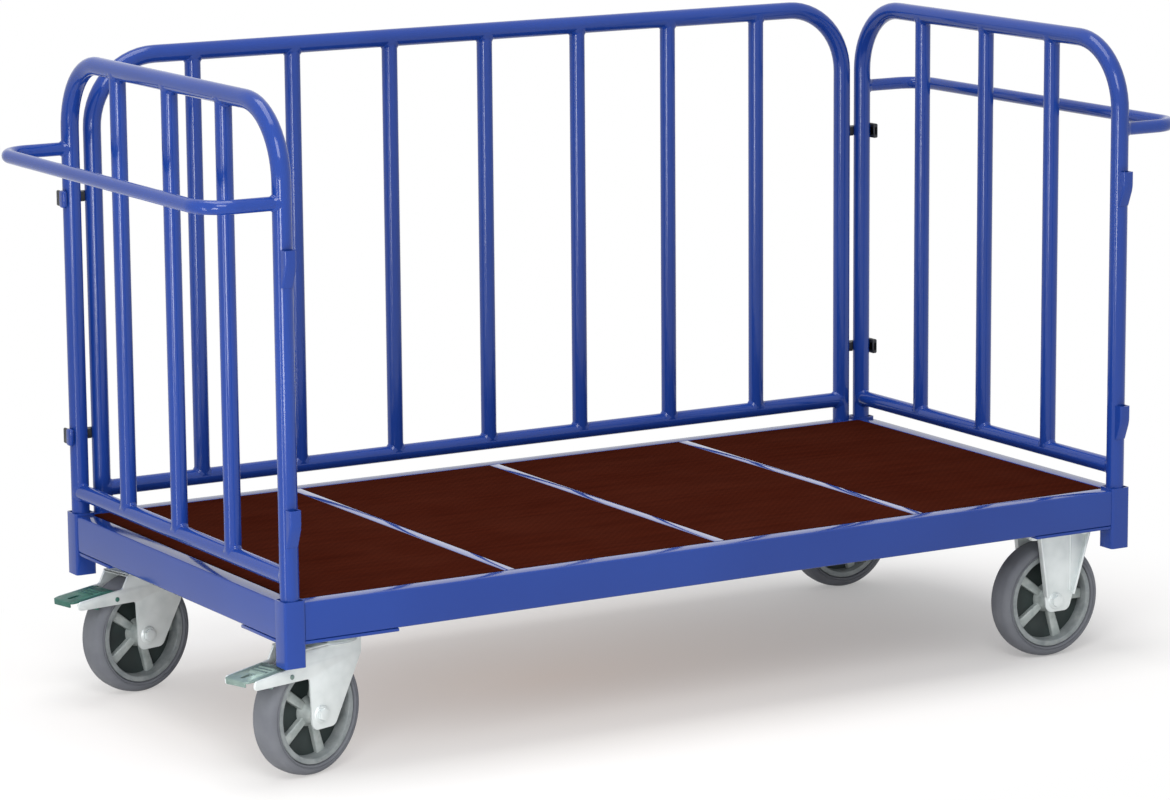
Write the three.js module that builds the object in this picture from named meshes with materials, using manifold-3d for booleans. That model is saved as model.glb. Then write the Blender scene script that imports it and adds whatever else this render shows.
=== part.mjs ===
// A three-sided platform trolley. A welded tube frame carries four inset
// plywood boards. Two end panels and a back panel of bent tube plug into the
// frame, and two swivel casters with brakes and two fixed casters carry it.
// Millimetres, +Z up. The origin is on the floor under the middle of the
// frame, +X points to the fixed casters and +Y to the back panel.

import * as THREE from "three";
import { mergeVertices } from "three/addons/utils/BufferGeometryUtils.js";
import Module from "manifold-3d";

const wasm = await Module();
wasm.setup();

// Overall sizes
const frameLength = 1600;
const frameWidth = 800;
const beamHeight = 60;
const beamWidth = 30;
const beamWall = 2.5;
const panelTop = 757;

// Clearances
const seatGap = 0.3;
const slideGap = 0.6;
const runGap = 1;
const overrun = 5;

// Deck and the strips that carry it
const boardThickness = 15;
const boardGap = 0.5;
const boardCount = 4;
const memberWidth = 20;
const memberHeight = 40;
const memberWall = 2;
const ledgeReach = 16;
const ledgeThickness = 3;

// Corner sockets and the caster pads welded to them
const socketSide = 36;
const socketWall = 2.4;
const socketRound = 4;
const socketRise = 4;
const socketDrop = 40;
const socketFloor = 3;
const drainRadius = 5;
const padThickness = 5;
const padMargin = 8;

// Bent tube panels
const postRadius = 15;
const tubeWall = 2.5;
const barRadius = 13.5;
const barWall = 2;
const hoopBend = 115;
const railRise = 38;
const endBarCount = 3;
const backBarCount = 7;
const backPostInset = 41.4;
const backPanelShift = 4;
const spigotRadius = 7.5;
const spigotWall = 2;
const spigotDepth = 50;
const spigotPlug = 12;
const bushWall = 2;

// Push handles
const handleRadius = 11;
const handleWall = 2;
const handleReach = 127;
const handleRise = 612;
const handleBend = 50;

// Wedge pockets on the front posts, where a fourth panel hooks in
const pocketWidth = 26;
const pocketDepth = 12;
const pocketWall = 3;
const pocketStraight = 28;
const pocketTaper = 25;
const pocketFoot = 3;
const pocketRound = 6;
const upperCatchRise = 543;
const lowerCatchRise = 146;

// Plastic clips that tie the back panel to the end panels
const clipHeight = 26;
const clipJaw = 9.4;
const clipReach = 16;
const clipRound = 3;

// Wheels
const wheelRadius = 100;
const wheelWidth = 50;
const treadRound = 14;
const tyreThickness = 23;
const seatWidth = 38;
const rimLip = 4;
const rimLipWidth = 3.5;
const rimThickness = 6;
const spokeCount = 5;
const spokeWidth = 15;
const spokeThickness = 14;
const webThickness = 4;
const spokeFlare = 6;
const hubRadius = 21;
const hubLength = 56;
const axleRadius = 6;
const sleeveRadius = 8;
const boltHeadRadius = 11;
const boltHeadHeight = 7;

// Where the casters stand, measured in from the outside of the frame
const swivelInsetX = 120;
const swivelInsetY = 94;
const fixedInsetX = 112;
const fixedInsetY = 88;
const trail = 49;
const frontTurn = THREE.MathUtils.degToRad(18);
const rearTurn = THREE.MathUtils.degToRad(13);

// Caster plates and their bolts
const plateLength = 140;
const plateDepth = 110;
const plateThickness = 6;
const plateRound = 10;
const plateBoltX = 52.5;
const plateBoltY = 40;
const plateBoltRadius = 5;
const plateBoltHead = 8.5;
const plateBoltHeadHeight = 6;

// The swivel head, from the tyre and the fork up to the plate
const crownGap = 3.5;
const raceOuter = 38;
const raceDrop = 5.6;
const raceChamfer = 3;
const lowerRaceHeight = 4;
const crownRadius = 46;
const crownThickness = 5;
const kingpinRadius = 7;
const kingpinNut = 11;
const kingpinNutHeight = 7;

// Fork sheets, drawn about the axle with the kingpin ahead and a cheek behind. A drop
// is down from the tyre's top and a reach is out from its side
const legThickness = 4;
const legRound = 19;
const legFront = 30;
const forkFront = 90;
const forkFrontDrop = 26;
const forkRear = 38;
const cheekShoulderOut = 50;
const cheekShoulderDrop = 15;
const cheekTipReach = 41;
const cheekTipDrop = 23;
const cheekTipDepth = 14;
const cheekRootOut = 23;
const cheekRootDrop = 40;
const legBottom = 24;
const sheetRound = 6;
const forkFrontRound = 12;
const bossRadius = 14;
const bossHeight = 1.6;

// Brackets of the fixed casters
const bracketFront = 70;
const bracketRear = 38;
const bracketFootFront = 28;
const bracketFootRear = 18;
const flangeDepth = 7;
const flangeWidth = 4;

// Brake pedals, which pivot between the cheeks of a fork. An inset is in from the
// tyre's side
const pedalPress = THREE.MathUtils.degToRad(12);
const pedalPivotInset = 38;
const pedalPivotDrop = 30;
const pedalPinRadius = 4;
const pedalSheet = 3;
const pedalSideSheet = 2.4;
const pedalEyeRadius = 8;
const pedalInset = 34;
const pedalStartDrop = 15;
const pedalReach = 50;
const pedalEndDrop = 23;
const pedalLip = 9;
const pedalTipWidth = 50;
const pedalSideReach = 36;
const pedalSideDepth = 9;
const pedalSlotReach = 27;
const pedalSlotLength = 22;
const pedalSlotWidth = 7;
const pedalSlotRound = 2;
const shoeWidth = 40;
const shoeLift = 0.5;
const shoeStart = THREE.MathUtils.degToRad(138);
const shoeEnd = THREE.MathUtils.degToRad(151);

// Facet counts
const tubeSides = 12;
const barSides = 8;
const boreSides = 6;
const pinSides = 8;
const bossSides = 8;
const bendSteps = 4;
const wheelSides = 18;
const discSides = 10;
const hexSides = 6;
const roundSteps = 1;
const edgeSteps = 1;
const treadSteps = 2;
const shoeSteps = 3;
const clipSteps = 3;

// Places that several pieces share
const seatRadius = wheelRadius - tyreThickness;
const headHeight = crownThickness + lowerRaceHeight + raceDrop + plateThickness;
const casterTop = 2 * wheelRadius + crownGap + headHeight;
const deckTop = casterTop + padThickness + beamHeight + 3 * seatGap;
const beamBottom = deckTop - beamHeight;
const postX = frameLength / 2 - socketSide / 2;
const postY = frameWidth / 2 - socketSide / 2;
const innerX = postX - beamWidth / 2;
const innerY = postY - beamWidth / 2;
const socketTop = deckTop + socketRise;
const socketBottom = beamBottom - socketDrop;
const postFoot = socketBottom + socketFloor + seatGap;
const backX = postX - backPostInset;
const backY = postY + backPanelShift;
const panelTopZ = deckTop + panelTop;
const reachY = postY + postRadius + pocketDepth;
const railZ = deckTop + railRise;
const ledgeTop = deckTop - boardThickness - seatGap;
const ledgeLow = ledgeTop - ledgeThickness;
const padTop = beamBottom - seatGap;
const plateTop = padTop - padThickness - seatGap;
const plateBottom = plateTop - plateThickness;
const raceLow = plateBottom - raceDrop;
const crownTop = raceLow - seatGap - lowerRaceHeight;
const crownBottom = crownTop - crownThickness;
const legInner = hubLength / 2 + runGap;
const legOuter = legInner + legThickness;
const bossFace = legOuter + bossHeight;
const sleeveBore = sleeveRadius / Math.cos(Math.PI / pinSides) + seatGap;
const axleBore = axleRadius / Math.cos(Math.PI / pinSides) + seatGap;
const pedalBore = pedalPinRadius / Math.cos(Math.PI / pinSides) + seatGap;
const kingpinBore = kingpinRadius / Math.cos(Math.PI / pinSides) + seatGap;
const postSaddle = postRadius / Math.cos(Math.PI / tubeSides) + seatGap;
const barSaddle = barRadius / Math.cos(Math.PI / barSides) + seatGap;
const pedalStart = wheelRadius - pedalInset;
const pedalStartRise = wheelRadius - pedalStartDrop;
const pedalEnd = wheelRadius + pedalReach;
const pedalEndRise = wheelRadius - pedalEndDrop;
const pedalSideEnd = wheelRadius + pedalSideReach;
const pedalPivot = [pedalPivotInset - wheelRadius, wheelRadius - pedalPivotDrop];
const boardLength = (2 * innerX - (boardCount - 1) * memberWidth) / boardCount;

// Materials
const paint = { color: 0x23408f, roughness: 0.35, metalness: 0.1 };
const zinc = { color: 0xc3c8c9, roughness: 0.4, metalness: 0.8 };
const greenZinc = { color: 0x5d6f69, roughness: 0.45, metalness: 0.6 };
const alloy = { color: 0x9aa3a6, roughness: 0.5, metalness: 0.7 };
const greyRubber = { color: 0x5c5f66, roughness: 0.8, metalness: 0 };
const blackPlastic = { color: 0x101318, roughness: 0.6, metalness: 0 };
const filmPly = { color: 0x4a1c12, roughness: 0.55, metalness: 0 };

// A closed geometry becomes a solid that can be joined and cut. Triangles
// that a pole or a seam has folded to a line are left out.
function toSolid(geometry) {
  const bare = geometry.clone();
  bare.deleteAttribute("normal");
  bare.deleteAttribute("uv");
  const merged = mergeVertices(bare);
  const corners = merged.index.array;
  const kept = [];
  for (let first = 0; first < corners.length; first += 3) {
    const [a, b, c] = corners.slice(first, first + 3);
    if (a !== b && b !== c && c !== a) kept.push(a, b, c);
  }
  const vertProperties = new Float32Array(merged.attributes.position.array);
  const triVerts = new Uint32Array(kept);
  return new wasm.Manifold(new wasm.Mesh({ numProp: 3, vertProperties, triVerts }));
}

// A solid becomes a geometry again.
function toGeometry(solid) {
  const mesh = solid.getMesh();
  const geometry = new THREE.BufferGeometry();
  const positions = new Float32Array(mesh.vertProperties);
  geometry.setAttribute("position", new THREE.BufferAttribute(positions, 3));
  geometry.setIndex(new THREE.BufferAttribute(new Uint32Array(mesh.triVerts), 1));
  geometry.computeVertexNormals();
  return geometry;
}

function addMesh(parent, name, solid, look) {
  const mesh = new THREE.Mesh(toGeometry(solid), new THREE.MeshStandardMaterial(look));
  mesh.name = name;
  parent.add(mesh);
}

// A block between two corners, given in any order.
function block(x0, x1, y0, y1, z0, z1) {
  const geometry = new THREE.BoxGeometry(Math.abs(x1 - x0), Math.abs(y1 - y0), Math.abs(z1 - z0));
  geometry.translate((x0 + x1) / 2, (y0 + y1) / 2, (z0 + z1) / 2);
  return toSolid(geometry);
}

// An upright round rod.
function rodZ(radius, x, y, z0, z1, sides = tubeSides) {
  const geometry = new THREE.CylinderGeometry(radius, radius, z1 - z0, sides);
  geometry.rotateX(Math.PI / 2);
  geometry.translate(x, y, (z0 + z1) / 2);
  return toSolid(geometry);
}

// A rod along Y.
function rodY(radius, x, z, y0, y1, sides = tubeSides) {
  const geometry = new THREE.CylinderGeometry(radius, radius, y1 - y0, sides);
  geometry.translate(x, (y0 + y1) / 2, z);
  return toSolid(geometry);
}

// A rod along X.
function rodX(radius, y, z, x0, x1, sides = tubeSides) {
  const geometry = new THREE.CylinderGeometry(radius, radius, x1 - x0, sides);
  geometry.rotateZ(Math.PI / 2);
  geometry.translate((x0 + x1) / 2, y, z);
  return toSolid(geometry);
}

// A closed outline from corners of x, y and rounding radius.
function roundedOutline(corners) {
  const shape = new THREE.Shape();
  const count = corners.length;
  corners.forEach(([x, y, radius], index) => {
    const here = new THREE.Vector2(x, y);
    const [beforeX, beforeY] = corners[(index + count - 1) % count];
    const [afterX, afterY] = corners[(index + 1) % count];
    const back = new THREE.Vector2(beforeX, beforeY).sub(here).normalize();
    const ahead = new THREE.Vector2(afterX, afterY).sub(here).normalize();
    const half = Math.acos(THREE.MathUtils.clamp(back.dot(ahead), -1, 1)) / 2;
    const start = here.clone().addScaledVector(back, radius / Math.tan(half));
    if (index === 0) shape.moveTo(start.x, start.y);
    else shape.lineTo(start.x, start.y);
    if (radius === 0) return;
    const inward = back.clone().add(ahead).normalize();
    const centre = here.clone().addScaledVector(inward, radius / Math.sin(half));
    const end = here.clone().addScaledVector(ahead, radius / Math.tan(half));
    const from = start.clone().sub(centre).angle();
    const to = end.clone().sub(centre).angle();
    const clockwise = back.cross(ahead) > 0;
    shape.absarc(centre.x, centre.y, radius, from, to, clockwise);
  });
  shape.closePath();
  return shape;
}

// A rectangle with rounded corners about a centre.
function roundedRectangle(width, height, radius, centreX = 0, centreY = 0) {
  const [x0, x1] = [centreX - width / 2, centreX + width / 2];
  const [y0, y1] = [centreY - height / 2, centreY + height / 2];
  return roundedOutline([
    [x0, y0, radius],
    [x1, y0, radius],
    [x1, y1, radius],
    [x0, y1, radius],
  ]);
}

// A shape in plan raised from one level to another.
function prismZ(shape, z0, z1, steps = roundSteps) {
  const options = { depth: z1 - z0, bevelEnabled: false, curveSegments: steps };
  const geometry = new THREE.ExtrudeGeometry(shape, options);
  geometry.translate(0, 0, z0);
  return toSolid(geometry);
}

// A shape drawn in X and Z, given depth along Y.
function prismY(shape, y0, y1, steps = roundSteps) {
  const options = { depth: y1 - y0, bevelEnabled: false, curveSegments: steps };
  const geometry = new THREE.ExtrudeGeometry(shape, options);
  geometry.rotateX(Math.PI / 2);
  geometry.translate(0, y1, 0);
  return toSolid(geometry);
}

// A ring or disc about the Z axis, from pairs of radius and height that run
// up the outside and down the inside.
function turned(profile, sides) {
  const points = profile.map(([radius, height]) => new THREE.Vector2(radius, height));
  points.push(points[0].clone());
  const geometry = new THREE.LatheGeometry(points, sides);
  geometry.rotateX(Math.PI / 2);
  return toSolid(geometry);
}

// A path of straight runs and bends, with stations at the ends of each run
// and evenly along each bend.
class BentPath extends THREE.Curve {
  constructor(stations) {
    super();
    this.stations = stations;
  }

  getUtoTmapping(u) {
    return u;
  }

  getPoint(t, target = new THREE.Vector3()) {
    const last = this.stations.length - 1;
    const place = t * last;
    const nearest = Math.round(place);
    const index = Math.min(Math.floor(place), last - 1);
    if (Math.abs(place - nearest) * last < 1 / last) {
      return target.copy(this.stations[nearest].point);
    }
    const [from, to] = [this.stations[index], this.stations[index + 1]];
    return target.lerpVectors(from.point, to.point, place - index);
  }

  getTangent(t, target = new THREE.Vector3()) {
    const index = Math.round(t * (this.stations.length - 1));
    return target.copy(this.stations[index].tangent);
  }
}

// The path of a symmetric loop: out along one leg, across, and back along the
// other. sideAxis runs across the loop and reachAxis along its legs.
function loopPath({ origin, sideAxis, reachAxis, half, start, reach, bend }) {
  const at = (side, out) => origin.clone()
    .addScaledVector(sideAxis, side)
    .addScaledVector(reachAxis, out);
  const heading = (side, out) => new THREE.Vector3()
    .addScaledVector(sideAxis, side)
    .addScaledVector(reachAxis, out);
  const stations = [{ point: at(-half, start), tangent: heading(0, 1) }];
  for (const [side, quarter] of [[-1, 0], [1, 1]]) {
    for (let step = 0; step <= bendSteps; step += 1) {
      const angle = (Math.PI / 2) * (quarter + step / bendSteps);
      const centre = side * (half - bend);
      const point = at(centre - bend * Math.cos(angle), reach - bend + bend * Math.sin(angle));
      stations.push({ point, tangent: heading(Math.sin(angle), Math.cos(angle)) });
    }
  }
  stations.push({ point: at(half, start), tangent: heading(0, -1) });
  return new BentPath(stations);
}

// A round rod of a radius along a path.
function rodAlong(path, radius, sides) {
  const circle = new THREE.Shape().absarc(0, 0, radius, 0, 2 * Math.PI);
  const options = {
    steps: path.stations.length - 1,
    curveSegments: sides / 2,
    bevelEnabled: false,
    extrudePath: path,
  };
  return toSolid(new THREE.ExtrudeGeometry(circle, options));
}

// A rectangular tube along Y, open at both ends.
function boxTube(width, height, wall, length) {
  const outer = roundedRectangle(width, height, wall);
  outer.holes.push(roundedRectangle(width - 2 * wall, height - 2 * wall, wall / 2));
  return prismY(outer, -length / 2, length / 2, edgeSteps);
}

// The bays between the cross members, as pairs of X limits.
function deckBays() {
  const pitch = boardLength + memberWidth;
  return Array.from({ length: boardCount }, (_, index) => {
    const start = -innerX + index * pitch;
    return [start, start + boardLength];
  });
}

// A front or rear beam with a deck ledge in every bay. The rear beam also has
// two bushes that take the spigots of the back panel.
function longBeam(side) {
  const length = 2 * (postX - socketSide / 2 - seatGap);
  const tube = boxTube(beamWidth, beamHeight, beamWall, length).rotate([0, 0, 90]);
  let solid = tube.translate([0, side * postY, deckTop - beamHeight / 2]);
  const root = side * (innerY + beamWall / 2);
  const edge = side * (innerY - ledgeReach);
  const clear = seatGap + socketSide / 2 - beamWidth / 2;
  for (const [from, to] of deckBays()) {
    solid = solid.add(block(from + clear, to - clear, root, edge, ledgeLow, ledgeTop));
  }
  if (side < 0) return solid;
  const bore = spigotRadius / Math.cos(Math.PI / pinSides) + slideGap;
  for (const x of [-backX, backX]) {
    const low = beamBottom + beamWall / 2;
    solid = solid.add(rodZ(bore + bushWall, x, backY, low, deckTop - beamWall / 2, pinSides));
    const levels = [beamBottom + beamWall, deckTop + overrun];
    solid = solid.subtract(rodZ(bore, x, backY, ...levels, pinSides));
  }
  return solid;
}

// An end beam with one deck ledge along its inside.
function endBeam(side) {
  const length = 2 * (postY - socketSide / 2 - seatGap);
  const tube = boxTube(beamWidth, beamHeight, beamWall, length);
  const solid = tube.translate([side * postX, 0, deckTop - beamHeight / 2]);
  const endY = innerY - ledgeReach - seatGap;
  const root = side * (innerX + beamWall / 2);
  const edge = side * (innerX - ledgeReach);
  return solid.add(block(root, edge, -endY, endY, ledgeLow, ledgeTop));
}

// A cross member with ledges on both sides for the boards that meet there.
function crossMember(x) {
  const tube = boxTube(memberWidth, memberHeight, memberWall, 2 * (innerY - seatGap));
  const endX = memberWidth / 2 + ledgeReach;
  const endY = innerY - ledgeReach - seatGap;
  const inside = memberWidth / 2 - memberWall / 2;
  const ledge = block(-endX, endX, -endY, endY, ledgeLow, ledgeTop);
  const middle = block(-inside, inside, -innerY, innerY, ledgeLow, ledgeTop);
  const raised = tube.translate([0, 0, deckTop - memberHeight / 2]);
  return raised.add(ledge.subtract(middle)).translate([x, 0, 0]);
}

// A deck board. The outer ones are notched round the corner sockets.
function deckBoard([from, to]) {
  const y = innerY - boardGap;
  const low = deckTop - boardThickness;
  let solid = block(from + boardGap, to - boardGap, -y, y, low, deckTop);
  const notchX = postX - socketSide / 2 - boardGap;
  const notchY = postY - socketSide / 2 - boardGap;
  for (const sideX of [-1, 1]) {
    for (const sideY of [-1, 1]) {
      const spanX = [sideX * notchX, sideX * postX];
      const spanY = [sideY * notchY, sideY * postY];
      solid = solid.subtract(block(...spanX, ...spanY, low - overrun, deckTop + overrun));
    }
  }
  return solid;
}

// Bolt places on a caster plate, about its middle.
function plateBoltPlaces() {
  const sides = [-1, 1];
  return sides.flatMap((sideX) => sides.map((sideY) => [sideX * plateBoltX, sideY * plateBoltY]));
}

// Where the caster of a corner stands.
function casterPlace(sideX, sideY) {
  const [insetX, insetY] = sideX < 0 ? [swivelInsetX, swivelInsetY] : [fixedInsetX, fixedInsetY];
  return [sideX * (frameLength / 2 - insetX), sideY * (frameWidth / 2 - insetY)];
}

// A corner socket of square tube, open at the top, with the pad for its
// caster welded on.
function cornerSocket(sideX, sideY) {
  const x = sideX * postX;
  const y = sideY * postY;
  const boreSide = socketSide - 2 * socketWall;
  const outer = roundedRectangle(socketSide, socketSide, socketRound, x, y);
  const bore = roundedRectangle(boreSide, boreSide, socketRound - socketWall, x, y);
  const [nearX, nearY] = [postX + beamWidth / 2, postY + beamWidth / 2];
  const [casterX, casterY] = casterPlace(sideX, sideY);
  const farX = Math.abs(casterX) - plateLength / 2 - padMargin;
  const farY = Math.abs(casterY) - plateDepth / 2 - padMargin;
  const middle = [sideX * (nearX + farX) / 2, sideY * (nearY + farY) / 2];
  const pad = roundedRectangle(nearX - farX, nearY - farY, padMargin, ...middle);
  let solid = prismZ(outer, socketBottom, socketTop).add(prismZ(pad, padTop - padThickness, padTop));
  solid = solid.subtract(prismZ(bore, socketBottom + socketFloor, socketTop + overrun, edgeSteps));
  const drain = [socketBottom - overrun, beamBottom];
  solid = solid.subtract(rodZ(drainRadius, x, y, ...drain, boreSides));
  for (const [boltX, boltY] of plateBoltPlaces()) {
    const place = [casterX + boltX, casterY + boltY];
    const hole = rodZ(plateBoltRadius + seatGap, ...place, plateBottom, deckTop, boreSides);
    solid = solid.subtract(hole);
  }
  return solid;
}

// A rail along X or Y between two posts, saddled to both of them.
function rail({ x, y, half, alongX }) {
  const rod = alongX ? rodX : rodY;
  const across = alongX ? y : x;
  let solid = rod(barRadius, across, railZ, -half, half, barSides);
  solid = solid.subtract(rod(barRadius - barWall, across, railZ, -half, half, boreSides));
  for (const side of [-half, half]) {
    const place = alongX ? [side, y] : [x, side];
    solid = solid.subtract(rodZ(postSaddle, ...place, deckTop, panelTopZ));
  }
  return solid;
}

// An upright bar saddled to the rail below and the hoop above.
function uprightBar({ x, y, alongX }) {
  const rod = alongX ? rodX : rodY;
  const across = alongX ? y : x;
  const along = alongX ? x : y;
  const span = [along - 2 * barRadius, along + 2 * barRadius];
  let solid = rodZ(barRadius, x, y, railZ, panelTopZ, barSides);
  solid = solid.subtract(rodZ(barRadius - barWall, x, y, railZ, panelTopZ, boreSides));
  solid = solid.subtract(rod(barSaddle, across, railZ, ...span, barSides));
  return solid.subtract(rod(postSaddle, across, panelTopZ, ...span));
}

// Even places between two posts.
function barPlaces(half, count) {
  const pitch = (2 * half) / (count + 1);
  return Array.from({ length: count }, (_, index) => -half + (index + 1) * pitch);
}

// A folded wedge pocket on the front of a post, open at its top.
function wedgePocket(x, rise) {
  const top = deckTop + rise;
  const face = postY + postRadius;
  const root = postY + postRadius / 2;
  const bend = top - pocketStraight;
  const foot = bend - pocketTaper;
  const wedge = (inset, lift) => {
    const section = roundedOutline([
      [root, foot, 0],
      [face + pocketFoot - inset, foot, 0],
      [face + pocketDepth - inset, bend, pocketRound],
      [face + pocketDepth - inset, top + lift, 0],
      [root, top + lift, 0],
    ]);
    const half = pocketWidth / 2 - inset;
    return prismY(section, -half, half).rotate([0, 0, -90]).translate([x, 0, 0]);
  };
  return wedge(0, 0).subtract(wedge(pocketWall, overrun));
}

// The hoop of an end panel with its upper wedge pocket.
function endHoop(side) {
  const loop = {
    origin: new THREE.Vector3(side * postX, 0, 0),
    sideAxis: new THREE.Vector3(0, 1, 0),
    reachAxis: new THREE.Vector3(0, 0, 1),
    half: postY,
    start: postFoot,
    reach: panelTopZ,
    bend: hoopBend,
  };
  const tube = rodAlong(loopPath(loop), postRadius, tubeSides);
  const bore = loopPath({ ...loop, start: postFoot - overrun });
  return tube.add(wedgePocket(side * postX, upperCatchRise))
    .subtract(rodAlong(bore, postRadius - tubeWall, boreSides));
}

// The lower wedge pocket, saddled to its post. It is a node of its own, so
// that its mouth stays open in the collision model too.
function lowerPocket(side) {
  const post = rodZ(postSaddle, side * postX, -postY, deckTop, panelTopZ);
  return wedgePocket(side * postX, lowerCatchRise).subtract(post);
}

// The back hoop. Its posts end in spigots that plug into the rear beam.
function backHoop() {
  const foot = deckTop + seatGap;
  const loop = {
    origin: new THREE.Vector3(0, backY, 0),
    sideAxis: new THREE.Vector3(1, 0, 0),
    reachAxis: new THREE.Vector3(0, 0, 1),
    half: backX,
    start: foot,
    reach: panelTopZ,
    bend: hoopBend,
  };
  const bore = loopPath({ ...loop, start: foot - overrun });
  let solid = rodAlong(loopPath(loop), postRadius, tubeSides);
  solid = solid.subtract(rodAlong(bore, postRadius - tubeWall, boreSides));
  for (const x of [-backX, backX]) {
    const plugTop = foot + spigotPlug;
    const plug = rodZ(postRadius - tubeWall / 2, x, backY, foot, plugTop);
    const pin = rodZ(spigotRadius, x, backY, foot - spigotDepth, plugTop, pinSides);
    const hollow = [foot - spigotDepth - overrun, plugTop + overrun];
    solid = solid.add(plug).add(pin);
    solid = solid.subtract(rodZ(spigotRadius - spigotWall, x, backY, ...hollow, boreSides));
  }
  return solid;
}

// A push handle bent outwards from the posts of an end panel.
function pushHandle(side) {
  const path = loopPath({
    origin: new THREE.Vector3(side * postX, 0, deckTop + handleRise),
    sideAxis: new THREE.Vector3(0, 1, 0),
    reachAxis: new THREE.Vector3(side, 0, 0),
    half: postY,
    start: 0,
    reach: handleReach,
    bend: handleBend,
  });
  let solid = rodAlong(path, handleRadius, barSides);
  solid = solid.subtract(rodAlong(path, handleRadius - handleWall, boreSides));
  for (const y of [-postY, postY]) {
    solid = solid.subtract(rodZ(postSaddle, side * postX, y, deckTop, panelTopZ));
  }
  return solid;
}

// A plastic clip fixed behind a back post. It reaches round the back of the
// end panel's post and leaves that post free to slide up.
function cornerClip(side, rise) {
  const high = deckTop + rise;
  const low = high - clipHeight;
  const passRadius = postRadius + slideGap;
  const outerX = postX + passRadius + clipJaw;
  const frontFace = postY - clipReach;
  const outline = roundedOutline([
    [backX, backY, 0],
    [postX, backY, 0],
    [postX, frontFace, 0],
    [outerX, frontFace, clipRound],
    [outerX, reachY, passRadius + clipJaw],
    [backX, reachY, clipRound],
  ]);
  const levels = [low - overrun, high + overrun];
  let solid = prismZ(outline, low, high, clipSteps);
  solid = solid.subtract(rodZ(postSaddle, backX, backY, ...levels));
  solid = solid.subtract(rodZ(passRadius, postX, postY, ...levels));
  const mouth = [postX - passRadius, postX + passRadius];
  solid = solid.subtract(block(...mouth, frontFace - overrun, postY, ...levels));
  return side > 0 ? solid : solid.mirror([1, 0, 0]);
}

// The grey tyre, with a rounded tread and a seat between the rim lips.
function tyre() {
  const half = wheelWidth / 2;
  const seat = seatWidth / 2 - seatGap;
  const bore = seatRadius + seatGap;
  const lip = seatRadius + rimLip + seatGap;
  const edge = wheelRadius - treadRound;
  const profile = [];
  for (let step = 0; step <= treadSteps; step += 1) {
    const angle = (Math.PI / 2) * (step / treadSteps);
    const height = -half + treadRound * (1 - Math.cos(angle));
    profile.push([edge + treadRound * Math.sin(angle), height]);
  }
  const mirrored = profile.map(([radius, height]) => [radius, -height]).reverse();
  const inside = [[lip, seat], [bore, seat], [bore, -seat], [lip, -seat]];
  return turned([...profile, ...mirrored, ...inside], wheelSides);
}

// A spoke that widens where it meets the rim, turned to its place.
function spoke(index) {
  const half = spokeWidth / 2;
  const end = seatRadius - rimThickness / 2;
  const neck = seatRadius - rimThickness - spokeFlare;
  const outline = roundedOutline([
    [hubRadius / 2, -half, 0],
    [neck, -half, 0],
    [end, -half - spokeFlare, 0],
    [end, half + spokeFlare, 0],
    [neck, half, 0],
    [hubRadius / 2, half, 0],
  ]);
  const turn = THREE.MathUtils.radToDeg((2 * Math.PI * index) / spokeCount);
  return prismZ(outline, -spokeThickness / 2, spokeThickness / 2).rotate([0, 0, turn]);
}

// The cast hub: a lipped rim, a thin web with spokes that stand out on both
// of its sides, and a long boss.
function hub() {
  const seat = seatWidth / 2;
  const lipFace = seat + rimLipWidth;
  const lip = seatRadius + rimLip;
  const inner = seatRadius - rimThickness;
  const rim = turned([
    [inner, -lipFace],
    [lip, -lipFace],
    [lip, -seat],
    [seatRadius, -seat],
    [seatRadius, seat],
    [lip, seat],
    [lip, lipFace],
    [inner, lipFace],
  ], wheelSides);
  const webRadius = seatRadius - rimThickness / 2;
  const web = rodZ(webRadius, 0, 0, -webThickness / 2, webThickness / 2, wheelSides);
  const boss = rodZ(hubRadius, 0, 0, -hubLength / 2, hubLength / 2, bossSides);
  const bore = rodZ(sleeveBore, 0, 0, -hubLength, hubLength, pinSides);
  let solid = rim.add(web).add(boss);
  for (let index = 0; index < spokeCount; index += 1) {
    solid = solid.add(spoke(index));
  }
  return solid.subtract(bore);
}

// An axle bolt with its head and nut, and the sleeve that the hub turns on.
function axle() {
  const face = bossFace + seatGap;
  const end = face + boltHeadHeight;
  const sleeveEnd = legInner - seatGap;
  return rodZ(axleRadius, 0, 0, -end, end, pinSides)
    .add(rodZ(sleeveRadius, 0, 0, -sleeveEnd, sleeveEnd, pinSides))
    .add(rodZ(boltHeadRadius, 0, 0, face, end, hexSides))
    .add(rodZ(boltHeadRadius, 0, 0, -end, -face, hexSides));
}

// A caster's top plate with its four bolts, about the plate's middle.
function boltedPlate() {
  let solid = prismZ(roundedRectangle(plateLength, plateDepth, plateRound), plateBottom, plateTop);
  const headLow = plateBottom - plateBoltHeadHeight;
  for (const [x, y] of plateBoltPlaces()) {
    solid = solid.add(rodZ(plateBoltRadius, x, y, plateBottom, padTop, boreSides));
    solid = solid.add(rodZ(plateBoltHead, x, y, headLow, plateBottom + seatGap, hexSides));
  }
  return solid;
}

// The swivel plate carries the upper race and the kingpin with its nut.
function swivelPlate() {
  const race = turned([
    [0, raceLow],
    [raceOuter - raceChamfer, raceLow],
    [raceOuter, raceLow + raceChamfer],
    [raceOuter, plateTop],
    [0, plateTop],
  ], discSides);
  const nutTop = crownBottom - seatGap;
  const nutLow = nutTop - kingpinNutHeight;
  return boltedPlate().add(race)
    .add(rodZ(kingpinRadius, 0, 0, nutLow, plateTop, pinSides))
    .add(rodZ(kingpinNut, 0, 0, nutLow, nutTop, hexSides));
}

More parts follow.
